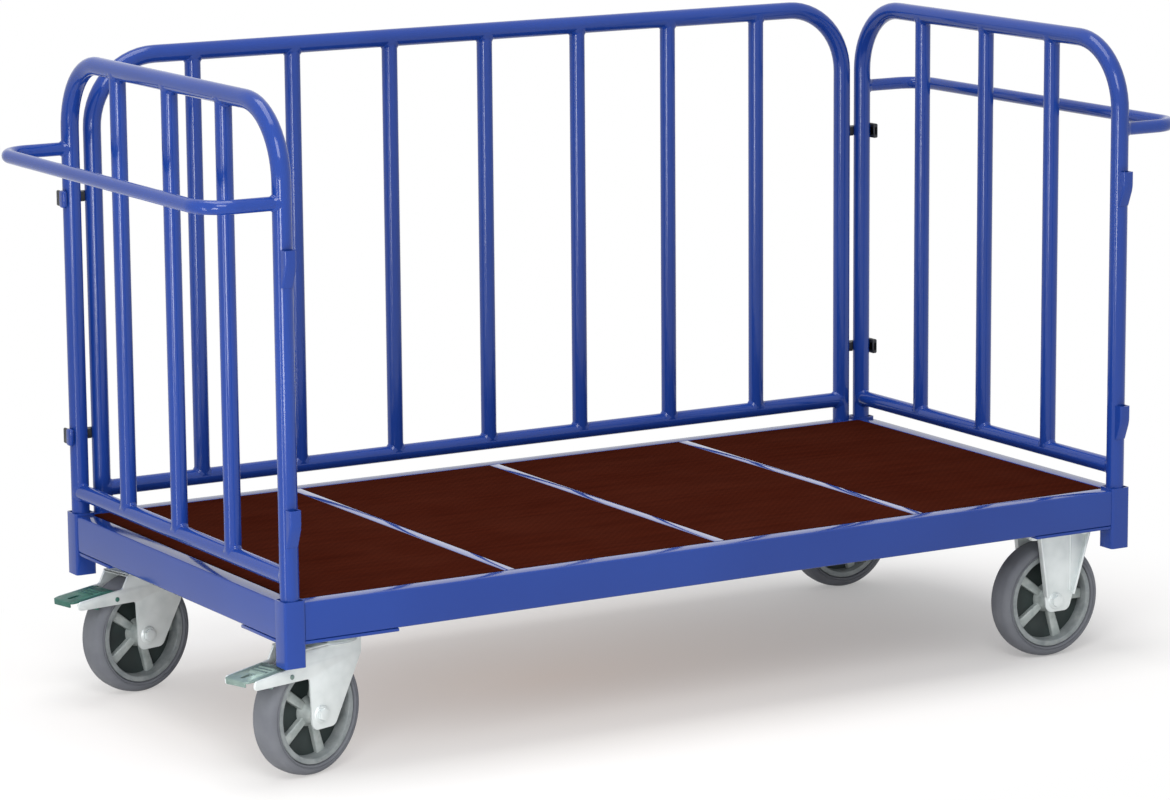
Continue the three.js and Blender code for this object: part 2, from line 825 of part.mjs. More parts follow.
// The side sheet of a swivel fork, drawn about the axle.
function forkSheet() {
  const top = crownTop - wheelRadius;
  const cheekTipOut = wheelRadius + cheekTipReach;
  const cheekTipRise = wheelRadius - cheekTipDrop;
  return roundedOutline([
    [forkFront, top, 0],
    [-forkRear, top, 0],
    [-cheekShoulderOut, wheelRadius - cheekShoulderDrop, sheetRound],
    [-cheekTipOut, cheekTipRise, sheetRound],
    [-cheekTipOut, cheekTipRise - cheekTipDepth, sheetRound],
    [-cheekRootOut, wheelRadius - cheekRootDrop, sheetRound],
    [-legRound, -legBottom, legRound - sheetRound],
    [legFront, -legBottom, legRound - sheetRound],
    [forkFront, top - forkFrontDrop, forkFrontRound],
  ]);
}

// A pair of side sheets with a raised boss round each axle hole.
function sheetPair(outline) {
  const makeSheet = (side) => {
    const spanY = [side * legInner, side * legOuter].sort((a, b) => a - b);
    const spanBoss = [side * legInner, side * bossFace].sort((a, b) => a - b);
    const boss = rodY(bossRadius, 0, 0, ...spanBoss, bossSides);
    return prismY(outline, ...spanY).add(boss);
  };
  return makeSheet(-1).add(makeSheet(1));
}

// A swivel fork about its axle: two sheets under a crown with the lower race.
function fork() {
  const top = crownTop - wheelRadius;
  const low = crownBottom - wheelRadius;
  const crown = rodZ(crownRadius, trail, 0, low, top, discSides);
  const bridge = block(-forkRear, trail, -legOuter, legOuter, low, top);
  const race = turned([
    [0, low],
    [raceOuter, low],
    [raceOuter, top + lowerRaceHeight - raceChamfer],
    [raceOuter - raceChamfer, top + lowerRaceHeight],
    [0, top + lowerRaceHeight],
  ], discSides).translate([trail, 0, 0]);
  const pinHole = rodZ(kingpinBore, trail, 0, low - overrun, top + 2 * overrun, pinSides);
  const across = [-2 * legOuter, 2 * legOuter];
  return sheetPair(forkSheet()).add(crown).add(bridge).add(race)
    .subtract(pinHole)
    .subtract(rodY(axleBore, 0, 0, ...across, pinSides))
    .subtract(rodY(pedalBore, ...pedalPivot, ...across, pinSides));
}

// The bracket of a fixed caster, about its axle: a bolted plate over two
// tapered sheets with turned-out edges, and the axle bolt fixed in them.
function bracket() {
  const top = plateTop - wheelRadius;
  const corners = (inset) => [
    [bracketFront - inset, top + inset, 0],
    [-bracketRear + inset, top + inset, 0],
    [-bracketFootRear + inset, -legRound + inset, legRound - sheetRound],
    [bracketFootFront - inset, -legRound + inset, legRound - sheetRound],
  ];
  const makeFlange = (side) => {
    const spanY = [side * legInner, side * (legOuter + flangeDepth)].sort((a, b) => a - b);
    const spanCut = [side * legInner, side * (legOuter + 2 * flangeDepth)].sort((a, b) => a - b);
    const cut = prismY(roundedOutline(corners(flangeWidth)), ...spanCut);
    const foot = block(-bracketRear, bracketFront, ...spanCut, -wheelRadius, legRound);
    return prismY(roundedOutline(corners(0)), ...spanY).subtract(cut).subtract(foot);
  };
  const plate = boltedPlate().translate([0, 0, -wheelRadius]);
  return plate.add(sheetPair(roundedOutline(corners(0))))
    .add(makeFlange(-1)).add(makeFlange(1))
    .add(axle().rotate([90, 0, 0]));
}

// A brake pedal about the axle: a bent sheet with two sides, trunnions that
// turn in the cheeks, and a shoe that all but meets the tyre when pressed.
function brakePedal() {
  const slope = (pedalStartRise - pedalEndRise) / (pedalEnd - pedalStart);
  const riseAt = (out) => pedalStartRise - slope * (out - pedalStart);
  const sideOuter = legInner - slideGap;
  const sheet = prismY(roundedOutline([
    [-pedalStart, riseAt(pedalStart) - pedalSheet, 0],
    [-pedalStart, riseAt(pedalStart), 0],
    [-pedalEnd, riseAt(pedalEnd), pedalSheet],
    [-pedalEnd - pedalSheet, riseAt(pedalEnd) - pedalLip, 0],
    [-pedalEnd, riseAt(pedalEnd) - pedalLip, 0],
    [-pedalEnd + pedalSheet, riseAt(pedalEnd) - pedalSheet, 0],
  ]), -sideOuter, sideOuter);
  const plan = prismZ(roundedOutline([
    [-pedalStart, -sideOuter, 0],
    [-pedalStart, sideOuter, 0],
    [-pedalSideEnd, sideOuter, pedalLip],
    [-pedalEnd - 2 * pedalSheet, pedalTipWidth / 2, pedalLip],
    [-pedalEnd - 2 * pedalSheet, -pedalTipWidth / 2, pedalLip],
    [-pedalSideEnd, -sideOuter, pedalLip],
  ]), 0, wheelRadius);
  const slot = prismZ(
    roundedRectangle(pedalSlotLength, pedalSlotWidth, pedalSlotRound, -wheelRadius - pedalSlotReach, 0),
    0, wheelRadius,
  );
  const [pivotX, pivotZ] = pedalPivot;
  const eyeLow = pivotZ - pedalEyeRadius;
  const sideOutline = roundedOutline([
    [-pedalStart, riseAt(pedalStart), 0],
    [-pedalSideEnd, riseAt(pedalSideEnd), 0],
    [-pedalSideEnd, riseAt(pedalSideEnd) - pedalSideDepth, pedalSheet],
    [pivotX - pedalEyeRadius, eyeLow, pedalSheet],
    [pivotX + pedalEyeRadius, eyeLow, pedalSheet],
    [pivotX + pedalEyeRadius, riseAt(pedalStart) - pedalSheet, pedalSheet],
  ]);
  let solid = sheet.intersect(plan).subtract(slot);
  for (const side of [-1, 1]) {
    const spanSheet = [side * (sideOuter - pedalSideSheet), side * sideOuter].sort((a, b) => a - b);
    const spanPin = [side * (sideOuter - pedalSideSheet), side * bossFace].sort((a, b) => a - b);
    solid = solid.add(prismY(sideOutline, ...spanSheet));
    solid = solid.add(rodY(pedalPinRadius, ...pedalPivot, ...spanPin, pinSides));
  }
  return solid.add(brakeShoe(riseAt));
}

// The shoe under a pedal. Its face is the arc that it takes when pressed,
// turned back about the pivot to where it rests.
function brakeShoe(riseAt) {
  const radius = wheelRadius + shoeLift;
  const pivot = new THREE.Vector2(...pedalPivot);
  const face = Array.from({ length: shoeSteps + 1 }, (_, step) => {
    const angle = shoeStart + (shoeEnd - shoeStart) * (step / shoeSteps);
    const place = new THREE.Vector2(radius * Math.cos(angle), radius * Math.sin(angle));
    place.rotateAround(pivot, -pedalPress);
    return [place.x, place.y, 0];
  });
  const [[firstX], [lastX]] = [face[0], face[face.length - 1]];
  const crest = pedalSheet / 2;
  const back = [[lastX, riseAt(-lastX) - crest, 0], [firstX, riseAt(-firstX) - crest, 0]];
  return prismY(roundedOutline([...face, ...back]), -shoeWidth / 2, shoeWidth / 2);
}

// A group at a place, turned about its own upright.
function standing(parent, x, y, z, turn = 0) {
  const group = new THREE.Group();
  group.position.set(x, y, z);
  group.rotation.z = turn;
  parent.add(group);
  return group;
}

function addFrame(trolley) {
  addMesh(trolley, "front_beam", longBeam(-1), paint);
  addMesh(trolley, "rear_beam", longBeam(1), paint);
  addMesh(trolley, "left_beam", endBeam(-1), paint);
  addMesh(trolley, "right_beam", endBeam(1), paint);
  const bays = deckBays();
  bays.slice(1).forEach(([start], index) => {
    const member = crossMember(start - memberWidth / 2);
    addMesh(trolley, `cross_member_${index + 1}`, member, paint);
  });
  bays.forEach((bay, index) => {
    addMesh(trolley, `deck_board_${index + 1}`, deckBoard(bay), filmPly);
  });
  for (const [endName, sideX] of [["left", -1], ["right", 1]]) {
    for (const [faceName, sideY] of [["front", -1], ["rear", 1]]) {
      const socket = cornerSocket(sideX, sideY);
      addMesh(trolley, `${endName}_${faceName}_socket`, socket, paint);
    }
  }
}

function addEndPanel(trolley, name, side) {
  const x = side * postX;
  addMesh(trolley, `${name}_hoop`, endHoop(side), paint);
  addMesh(trolley, `${name}_lower_pocket`, lowerPocket(side), paint);
  addMesh(trolley, `${name}_rail`, rail({ x, y: 0, half: postY, alongX: false }), paint);
  barPlaces(postY, endBarCount).forEach((y, index) => {
    addMesh(trolley, `${name}_bar_${index + 1}`, uprightBar({ x, y, alongX: false }), paint);
  });
  addMesh(trolley, `${name}_handle`, pushHandle(side), paint);
}

function addBackPanel(trolley) {
  const y = backY;
  addMesh(trolley, "back_hoop", backHoop(), paint);
  addMesh(trolley, "back_rail", rail({ x: 0, y, half: backX, alongX: true }), paint);
  barPlaces(backX, backBarCount).forEach((x, index) => {
    addMesh(trolley, `back_bar_${index + 1}`, uprightBar({ x, y, alongX: true }), paint);
  });
  for (const [endName, side] of [["left", -1], ["right", 1]]) {
    for (const [levelName, rise] of [["upper", upperCatchRise], ["lower", lowerCatchRise]]) {
      const clip = cornerClip(side, rise);
      addMesh(trolley, `${endName}_${levelName}_clip`, clip, blackPlastic);
    }
  }
}

// A wheel, in a group whose origin is the axle's middle.
function addWheel(group, name) {
  const lying = new THREE.Group();
  lying.rotation.x = Math.PI / 2;
  group.add(lying);
  addMesh(lying, `${name}_tyre`, tyre(), greyRubber);
  addMesh(lying, `${name}_hub`, hub(), alloy);
  return lying;
}

function addSwivelCaster(trolley, name, sideY, turn) {
  const place = casterPlace(-1, sideY);
  addMesh(standing(trolley, ...place, 0), `${name}_plate`, swivelPlate(), zinc);
  const turning = standing(trolley, ...place, wheelRadius, turn);
  const atAxle = standing(turning, -trail, 0, 0);
  addMesh(atAxle, `${name}_fork`, fork(), zinc);
  addMesh(atAxle, `${name}_pedal`, brakePedal(), greenZinc);
  addMesh(addWheel(atAxle, name), `${name}_axle`, axle(), zinc);
}

function addFixedCaster(trolley, name, sideY) {
  const atAxle = standing(trolley, ...casterPlace(1, sideY), wheelRadius);
  addMesh(atAxle, `${name}_bracket`, bracket(), zinc);
  addWheel(atAxle, name);
}

const trolley = new THREE.Group();
addFrame(trolley);
addEndPanel(trolley, "left", -1);
addEndPanel(trolley, "right", 1);
addBackPanel(trolley);
addSwivelCaster(trolley, "left_front_caster", -1, frontTurn);
addSwivelCaster(trolley, "left_rear_caster", 1, rearTurn);
addFixedCaster(trolley, "right_front_caster", -1);
addFixedCaster(trolley, "right_rear_caster", 1);

export default trolley;
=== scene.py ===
import math
import bpy
import bmesh
from mathutils import Matrix, Vector, noise


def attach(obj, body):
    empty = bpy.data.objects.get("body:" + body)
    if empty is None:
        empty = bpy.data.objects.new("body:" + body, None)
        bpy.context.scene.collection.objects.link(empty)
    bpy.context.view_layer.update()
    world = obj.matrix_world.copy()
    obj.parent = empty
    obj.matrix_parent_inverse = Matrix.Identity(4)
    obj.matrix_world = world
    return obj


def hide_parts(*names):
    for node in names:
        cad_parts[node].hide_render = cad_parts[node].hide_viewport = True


# The platform trolley, dressed and lit as in its photograph. Its pieces are drawn in millimetres,
# which finishPiece turns into metres. The materials and the studio are in metres.

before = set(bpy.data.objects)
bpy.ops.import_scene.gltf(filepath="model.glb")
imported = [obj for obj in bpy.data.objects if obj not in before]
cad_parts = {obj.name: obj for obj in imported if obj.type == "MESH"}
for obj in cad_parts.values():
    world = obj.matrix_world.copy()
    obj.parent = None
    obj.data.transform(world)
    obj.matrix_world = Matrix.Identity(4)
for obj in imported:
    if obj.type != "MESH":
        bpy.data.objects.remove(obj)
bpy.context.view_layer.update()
print("frame loaded")

millimetre = 0.001
xAxis = Vector((1, 0, 0))
yAxis = Vector((0, 1, 0))
zAxis = Vector((0, 0, 1))
identity = Matrix.Identity(4)
ends = (("left", -1), ("right", 1))
flanks = (("front", -1), ("rear", 1))


# materials

def fromScreen(red, green, blue):
    # screen colour, 0 to 255, to the linear values that the sockets take
    channels = []
    for value in (red, green, blue):
        share = value / 255
        channels.append(share / 12.92 if share <= 0.04045 else ((share + 0.055) / 1.055) ** 2.4)
    return (*channels, 1.0)


def addNode(tree, kind, inputs=None, **settings):
    node = tree.nodes.new(kind)
    for name, value in settings.items():
        setattr(node, name, value)
    for name, value in (inputs or {}).items():
        inlet = node.inputs[name]
        if isinstance(value, bpy.types.NodeSocket):
            tree.links.new(value, inlet)
        else:
            inlet.default_value = value
    return node


def newMaterial(name, scalars):
    material = bpy.data.materials.new(name)
    material.use_nodes = True
    tree = material.node_tree
    shader = tree.nodes["Principled BSDF"]
    for inletName, value in scalars.items():
        shader.inputs[inletName].default_value = value
    place = addNode(tree, "ShaderNodeTexCoord").outputs["Object"]
    return material, tree, shader, place


def addMath(tree, operation, first, second):
    return addNode(tree, "ShaderNodeMath", {0: first, 1: second}, operation=operation).outputs[0]


def addRange(tree, value, fromMin, fromMax, toMin, toMax, **settings):
    inputs = {"Value": value, "From Min": fromMin, "From Max": fromMax, "To Min": toMin, "To Max": toMax}
    return addNode(tree, "ShaderNodeMapRange", inputs, **settings).outputs["Result"]


def addNoise(tree, place, scale, detail):
    inputs = {"Vector": place, "Scale": scale, "Detail": detail}
    return addNode(tree, "ShaderNodeTexNoise", inputs).outputs["Fac"]


noiseSpan = (0.3, 0.7)  # most of a noise's values lie between these


def blotches(tree, place, scale, detail, low, high):
    # noise spread out to run from low to high
    return addRange(tree, addNoise(tree, place, scale, detail), *noiseSpan, low, high)


def mixColours(tree, factor, first, second):
    # inputs 6 and 7 of a mix node are its colours, and output 2 is the colour it gives
    inputs = {"Factor": factor, 6: first, 7: second}
    return addNode(tree, "ShaderNodeMix", inputs, data_type="RGBA").outputs[2]


def setSurface(tree, shader, place, colour, gloss):
    tree.links.new(colour, shader.inputs["Base Color"])
    tree.links.new(blotches(tree, place, *gloss), shader.inputs["Roughness"])


def addBump(tree, shader, height, strength, depth):
    inputs = {"Height": height, "Strength": strength, "Distance": depth}
    bump = addNode(tree, "ShaderNodeBump", inputs)
    tree.links.new(bump.outputs["Normal"], shader.inputs["Normal"])


def addSkin(tree, shader, place, scale, detail, strength, depth):
    addBump(tree, shader, addNoise(tree, place, scale, detail), strength, depth)


def addDrift(tree, place, look):
    scale, detail, share = look["drift"]
    drift = blotches(tree, place, scale, detail, 0, share)
    return mixColours(tree, drift, fromScreen(*look["colour"]), fromScreen(*look["second"]))


# In a look, drift is a noise's scale and detail and how much of the second colour it lets in.
# Gloss is a noise's scale and detail and the roughness that it runs between. Skin is a noise's
# scale and detail and the strength and depth of its bump.
paint = {"colour": (27, 61, 142), "second": (20, 48, 122), "drift": (3, 2, 0.5),
         "scuff": (60, 86, 156), "rub": (60, 6), "rubRange": (0.7, 0.8, 0, 0.2),
         "gloss": (25, 3, 0.09, 0.17), "skin": (420, 1, 0.5, 0.00003),
         "specular": 0.36, "coat": 0, "memberCoat": 0.66, "coatRoughness": 0.06}


def makePaint(name, coat):
    material, tree, shader, place = newMaterial(name, {
        "Coat Weight": coat, "Coat Roughness": paint["coatRoughness"],
        "Specular IOR Level": paint["specular"]})
    rubbed = addRange(tree, addNoise(tree, place, *paint["rub"]), *paint["rubRange"])
    colour = mixColours(tree, rubbed, addDrift(tree, place, paint), fromScreen(*paint["scuff"]))
    setSurface(tree, shader, place, colour, paint["gloss"])
    addSkin(tree, shader, place, *paint["skin"])
    return material


zincLook = {"light": (220, 226, 226), "dark": (196, 204, 204), "metal": 0.35, "spangle": 45,
            "cloudDetail": 4, "gloss": (70, 4, 0.36, 0.52), "skin": (700, 3, 0.25, 0.0002)}
pedalLook = {**zincLook, "light": (138, 158, 152), "dark": (84, 108, 102), "metal": 0.4, "spangle": 60}
# painted shade: a darker copy of the same green zinc for the rear pedal, which stands in shade
shadedPedalLook = {**pedalLook, "light": (52, 104, 92), "dark": (24, 62, 54), "metal": 0.3,
                 "gloss": (70, 4, 0.4, 0.56)}


def makeZinc(name, look):
    # plated sheet with a faint spangle
    material, tree, shader, place = newMaterial(name, {"Metallic": look["metal"]})
    crystal = addNode(tree, "ShaderNodeTexVoronoi", {"Vector": place, "Scale": look["spangle"]})
    cloud = blotches(tree, place, look["spangle"] / 2, look["cloudDetail"], 0, 1)
    grain = addMath(tree, "MULTIPLY", crystal.outputs["Distance"], cloud)
    colour = mixColours(tree, grain, fromScreen(*look["light"]), fromScreen(*look["dark"]))
    setSurface(tree, shader, place, colour, look["gloss"])
    addSkin(tree, shader, place, *look["skin"])
    return material


# the mesh is a wave's scale, distortion, detail and detail scale, and its bump strength and depth
film = {"colour": (64, 24, 14), "dark": (42, 13, 8), "worn": (76, 36, 25), "ior": 1.2, "specular": 0,
        "turns": (45, -45), "mesh": (31.2, 0.6, 1, 3), "meshShade": 0.35, "meshBump": (0.5, 0.0005),
        "stretch": (6, 90, 90), "grain": (1, 6, 0, 0.55), "wear": (9, 6, 0, 0.25),
        "gloss": (30, 5, 0.78, 0.95)}


def makeDeckFilm():
    # phenolic film pressed with a wire mesh, over plywood
    material, tree, shader, place = newMaterial("deckFilm", {
        "IOR": film["ior"], "Specular IOR Level": film["specular"]})
    dark = fromScreen(*film["dark"])
    scale, distortion, detail, detailScale = film["mesh"]
    ridges = []
    for turn in film["turns"]:
        spun = addNode(tree, "ShaderNodeMapping", {
            "Vector": place, "Rotation": (0, 0, math.radians(turn))}).outputs["Vector"]
        inputs = {"Vector": spun, "Scale": scale, "Distortion": distortion,
                  "Detail": detail, "Detail Scale": detailScale}
        ridges.append(addNode(tree, "ShaderNodeTexWave", inputs).outputs["Fac"])
    weave = addMath(tree, "MINIMUM", *ridges)
    drawn = addNode(tree, "ShaderNodeMapping", {"Vector": place, "Scale": film["stretch"]})
    grain = blotches(tree, drawn.outputs["Vector"], *film["grain"])
    colour = mixColours(tree, grain, fromScreen(*film["colour"]), dark)
    wear = blotches(tree, place, *film["wear"])
    colour = mixColours(tree, wear, colour, fromScreen(*film["worn"]))
    colour = mixColours(tree, addMath(tree, "MULTIPLY", weave, film["meshShade"]), colour, dark)
    setSurface(tree, shader, place, colour, film["gloss"])
    addBump(tree, shader, weave, *film["meshBump"])
    return material


castSkin = (800, 3, 0.3, 0.0002)
rubberLook = {"colour": (98, 101, 108), "second": (134, 137, 142), "drift": (18, 6, 0.32),
              "metal": 0, "gloss": (40, 4, 0.72, 0.9), "skin": (900, 4, 0.35, 0.0004)}
alloyLook = {"colour": (182, 189, 187), "second": (148, 157, 156), "drift": (60, 5, 1),
             "metal": 0.35, "gloss": (120, 4, 0.42, 0.57), "skin": castSkin}
rimLook = {"colour": (148, 154, 155), "second": (122, 129, 131), "drift": (60, 5, 1),
           "metal": 0.25, "gloss": (120, 4, 0.5, 0.65), "skin": castSkin}
plasticLook = {"colour": (20, 23, 28), "second": (34, 37, 42), "drift": (90, 5, 1),
               "metal": 0, "gloss": (180, 4, 0.45, 0.6), "skin": castSkin}
# painted shade: a near-black look for the disc put across the hub's spoke windows
webLook = {"colour": (26, 36, 36), "second": (40, 52, 51), "drift": (40, 5, 1),
           "metal": 0, "gloss": (80, 4, 0.6, 0.75), "skin": castSkin}


def makePlain(name, look):
    # moulded or cast stuff with a fine uneven skin
    material, tree, shader, place = newMaterial(name, {"Metallic": look["metal"]})
    setSurface(tree, shader, place, addDrift(tree, place, look), look["gloss"])
    addSkin(tree, shader, place, *look["skin"])
    return material


bluePaint = makePaint("bluePaint", paint["coat"])
memberPaint = makePaint("memberPaint", paint["memberCoat"])
brightZinc = makeZinc("brightZinc", zincLook)
# the rear pedal takes the darker copy of the zinc, painted shade
greenZinc = {"front": makeZinc("greenZinc", pedalLook), "rear": makeZinc("shadedGreenZinc", shadedPedalLook)}
greyRubber = makePlain("greyRubber", rubberLook)
deckFilm = makeDeckFilm()
castAlloy = makePlain("castAlloy", alloyLook)
rimAlloy = makePlain("rimAlloy", rimLook)
blackPlastic = makePlain("blackPlastic", plasticLook)
paintedWindowShade = makePlain("paintedWindowShade", webLook)
print("materials made")


# shared mesh helpers

seamGap = 0.005  # points closer than this are made one
flatness = 0.000001
nearlyAlong = 0.9  # the cosine of an angle
creaseAngle = 1.2  # in radians
cornerSteps = 8
easeSteps = 2
headChamfer = 0.8
sharpAngles = {"plain": 35, "turned": 40, "pressed": 30}  # in degrees


def newObject(name, bm):
    mesh = bpy.data.meshes.new(name)
    bm.to_mesh(mesh)
    bm.free()
    piece = bpy.data.objects.new(name, mesh)
    bpy.context.scene.collection.objects.link(piece)
    return piece


def inMetres(name, bm):
    bmesh.ops.recalc_face_normals(bm, faces=bm.faces)
    bmesh.ops.scale(bm, vec=[millimetre] * 3, verts=bm.verts)
    return newObject(name, bm)


def finishPiece(name, bm, material, body, nodes=(), sharp="plain"):
    bmesh.ops.remove_doubles(bm, verts=bm.verts, dist=seamGap)
    piece = inMetres(name, bm)
    piece.data.shade_smooth()
    piece.data.set_sharp_from_angle(angle=math.radians(sharpAngles[sharp]))
    piece.data.materials.append(material)
    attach(piece, body)
    if nodes:
        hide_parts(*nodes)
    return piece


def aimed(place, heading):
    # local Z along the heading
    return Matrix.Translation(place) @ heading.to_track_quat("Z", "Y").to_matrix().to_4x4()


def facing(origin, first, outward):
    # local X along first and local Z along outward
    side = outward.cross(first)
    turn = Matrix((first, side, outward)).transposed().to_4x4()
    return Matrix.Translation(origin) @ turn


def onlyVerts(geom):
    return [item for item in geom if isinstance(item, bmesh.types.BMVert)]


def onlyEdges(geom):
    return [item for item in geom if isinstance(item, bmesh.types.BMEdge)]


def edgesOf(verts):
    return {edge for vert in verts for edge in vert.link_edges}


def newFaces(bm, before):
    return [part for part in bm.faces if part not in before]


def mirrored(rows):
    # rows of radius and height, and after them the same rows upside down
    return [*rows] + [(radius, -height) for radius, height in reversed(rows)]


def closed(rows):
    return [*rows, rows[0]]


def easeEdges(bm, edges, width, segments):
    return bmesh.ops.bevel(bm, geom=list(edges), offset=width, segments=segments,
                           affect="EDGES", profile=0.5, material=-1)["verts"]


def roundedBox(bm, low, high, radius, segments, along=None):
    # a block whose edges are rounded: all of them, or only those along one axis
    low, high = Vector(low), Vector(high)
    verts = bmesh.ops.create_cube(bm, size=1)["verts"]
    bmesh.ops.scale(bm, vec=high - low, verts=verts)
    bmesh.ops.translate(bm, vec=(low + high) / 2, verts=verts)
    edges = edgesOf(verts)
    if along is not None:
        edges = {edge for edge in edges if abs(
            (edge.verts[0].co - edge.verts[1].co).normalized().dot(along)) > nearlyAlong}
    rounded = easeEdges(bm, edges, radius, segments)
    return list(set(rounded) | {vert for vert in verts if vert.is_valid})


def turnedBox(bm, matrix, *shape):
    bmesh.ops.transform(bm, matrix=matrix, verts=roundedBox(bm, *shape))


def lathe(bm, profile, matrix, steps):
    # pairs of radius and height, spun about the matrix's own Z
    verts = [bm.verts.new((radius, 0, height)) for radius, height in profile]
    edges = [bm.edges.new(pair) for pair in zip(verts, verts[1:])]
    before = set(bm.verts)
    bmesh.ops.spin(bm, geom=verts + edges, cent=(0, 0, 0), axis=(0, 0, 1),
                   angle=2 * math.pi, steps=steps, use_merge=True)
    made = verts + [vert for vert in bm.verts if vert not in before]
    made = [vert for vert in made if vert.is_valid]
    bmesh.ops.transform(bm, matrix=matrix, verts=made)
    return made


def rod(bm, matrix, start, end, radius, sides, rim=0):
    # a round bar from one point to another, its rims eased by a chamfer
    start, end = matrix @ Vector(start), matrix @ Vector(end)
    length = (end - start).length
    profile = [(0, 0), (radius, 0), (radius, length), (0, length)]
    if rim:
        profile = [(0, 0), (radius - rim, 0), (radius, rim),
                   (radius, length - rim), (radius - rim, length), (0, length)]
    lathe(bm, profile, aimed(start, end - start), sides)


def hexHead(bm, matrix, start, end, radius):
    # a six-sided head with its outer rim turned off
    start, end = matrix @ Vector(start), matrix @ Vector(end)
    depth = (end - start).length
    aim = aimed(start, end - start)
    middle = aim @ Matrix.Translation((0, 0, depth / 2))
    made = bmesh.ops.create_cone(bm, cap_ends=True, segments=6, radius1=radius, radius2=radius,
                                 depth=depth, matrix=middle)
    rim = {edge for edge in edgesOf(made["verts"])
           if all((aim.inverted() @ vert.co).z > depth / 2 for vert in edge.verts)}
    easeEdges(bm, rim, headChamfer, easeSteps)


def sheetPlate(bm, corners, matrix, thickness, ease):
    # a flat plate from corners of x, y and rounding, in the matrix's XY plane
    verts = [bm.verts.new((x, y, 0)) for x, y, _ in corners]
    bm.faces.new(verts)
    for index, (x, y, radius) in enumerate(corners):
        if radius <= 0:
            continue
        here = Vector((x, y))
        back = (Vector(corners[index - 1][:2]) - here).normalized()
        ahead = (Vector(corners[(index + 1) % len(corners)][:2]) - here).normalized()
        reach = radius / math.tan(back.angle(ahead) / 2)
        bmesh.ops.bevel(bm, geom=[verts[index]], offset=reach, segments=cornerSteps,
                        affect="VERTICES", profile=0.5, material=-1)
    flat = [part for part in bm.faces if all(abs(vert.co.z) < flatness for vert in part.verts)]
    blank = max(flat, key=lambda part: part.calc_area())
    rim = list(blank.verts)
    lifted = onlyVerts(bmesh.ops.extrude_face_region(bm, geom=[blank], use_keep_orig=True)["geom"])
    bmesh.ops.translate(bm, vec=(0, 0, thickness), verts=lifted)
    edges = {edge for edge in edgesOf(rim + lifted)
             if len(edge.link_faces) == 2 and edge.calc_face_angle(0) > creaseAngle
             and abs(edge.verts[0].co.z - edge.verts[1].co.z) < flatness}
    eased = easeEdges(bm, edges, ease, easeSteps)
    every = {vert for vert in rim + lifted if vert.is_valid} | set(eased)
    bmesh.ops.transform(bm, matrix=matrix, verts=list(every))


tube = {"sides": 36, "bendSteps": 14, "barSides": 32}


def goStraight(bm, ring, step):
    # draws the ring of edges at a tube's end out in a straight line
    made = bmesh.ops.extrude_edge_only(bm, edges=ring)["geom"]
    verts = onlyVerts(made)
    bmesh.ops.translate(bm, vec=step, verts=verts)
    new = set(verts)
    return [edge for edge in onlyEdges(made) if set(edge.verts) <= new]


def goRound(bm, ring, centre, axis):
    # draws it round a quarter bend
    made = bmesh.ops.spin(bm, geom=ring, cent=centre, axis=axis, angle=math.pi / 2,
                          steps=tube["bendSteps"])
    return onlyEdges(made["geom_last"])


def bentLoop(bm, origin, side, reach, half, start, out, bend, radius):
    # a tube up one leg, across and back along the other, its ends closed
    axis = reach.cross(side)
    rise = reach * (out - bend - start)
    shift, height = side * (half - bend), reach * (out - bend)
    made = bmesh.ops.create_circle(bm, cap_ends=False, radius=radius, segments=tube["sides"],
                                   matrix=aimed(origin - side * half + reach * start, reach))
    ring = goStraight(bm, list(edgesOf(made["verts"])), rise)
    ring = goRound(bm, ring, origin - shift + height, axis)
    ring = goStraight(bm, ring, shift * 2)
    ring = goRound(bm, ring, origin + shift + height, axis)
    goStraight(bm, ring, -rise)
    bmesh.ops.holes_fill(bm, edges=bm.edges, sides=tube["sides"])


# each row of a weld is how far it stands out from the tube and off the host
weld = {"rows": ((-1.2, 5.4), (0.05, 4.4), (0.7, 3.0), (1.7, 1.5), (2.6, 0.5), (2.9, -1.6)),
        "ripple": 0.018, "rippleScale": 3, "hug": 0.3, "steps": 28}


def weldRing(bm, place, outward, tubeRadius, hostRadius, hostAxis):
    # a fillet of weld where a tube stands on the side of another
    profile = [(tubeRadius + grow, lift) for grow, lift in weld["rows"]]
    made = lathe(bm, profile, identity, weld["steps"])
    widest = hostRadius - weld["hug"]
    for vert in made:
        angle = math.atan2(vert.co.y, vert.co.x)
        spot = Vector((math.cos(angle), math.sin(angle), place.x + place.y))
        grown = 1 + weld["ripple"] * noise.noise(spot * weld["rippleScale"])
        across = max(min(vert.co.y * grown, widest), -widest)
        saddle = math.sqrt(hostRadius ** 2 - across ** 2)
        vert.co = Vector((vert.co.x * grown, across, vert.co.z + saddle))
    bmesh.ops.transform(bm, matrix=facing(place, hostAxis, outward), verts=made)


print("helpers ready")


# The welded frame and its deck. A rounding is a radius and the number of segments in it.

chassis = {"halfLength": 800, "halfWidth": 400, "deckTop": 290, "beamHeight": 60, "beamWidth": 30,
           "beamRounding": (3.2, 4), "ledge": (16, 3), "ledgeTop": 274.7, "ledgeStop": 6,
           "ledgeRounding": (0.6, 2), "member": (20, 40), "memberRounding": (1.8, 3),
           "boards": 4, "gap": 0.3, "overlap": 1}
socket = {"side": 36, "wall": 2.4, "rounding": (4.5, 5), "top": 294, "low": 190, "floor": 193,
          "padThick": 5, "padMargin": 8, "padTop": 229.7, "padRounding": (0.9, 2)}
casterSpots = {"left": (-680, 306), "right": (688, 312)}

# bolts are measured from the plate's underside
plate = {"length": 140, "depth": 110, "low": 218.4, "top": 224.4, "round": 10, "ease": 0.6,
         "boltX": 52.5, "boltY": 40, "head": (0.1, -5.7, 8.3), "washer": (0.1, -1.2, 9.9, 24, 0.3),
         "shank": (5, 16)}

postX = chassis["halfLength"] - socket["side"] / 2
postY = chassis["halfWidth"] - socket["side"] / 2
innerX = postX - chassis["beamWidth"] / 2
innerY = postY - chassis["beamWidth"] / 2


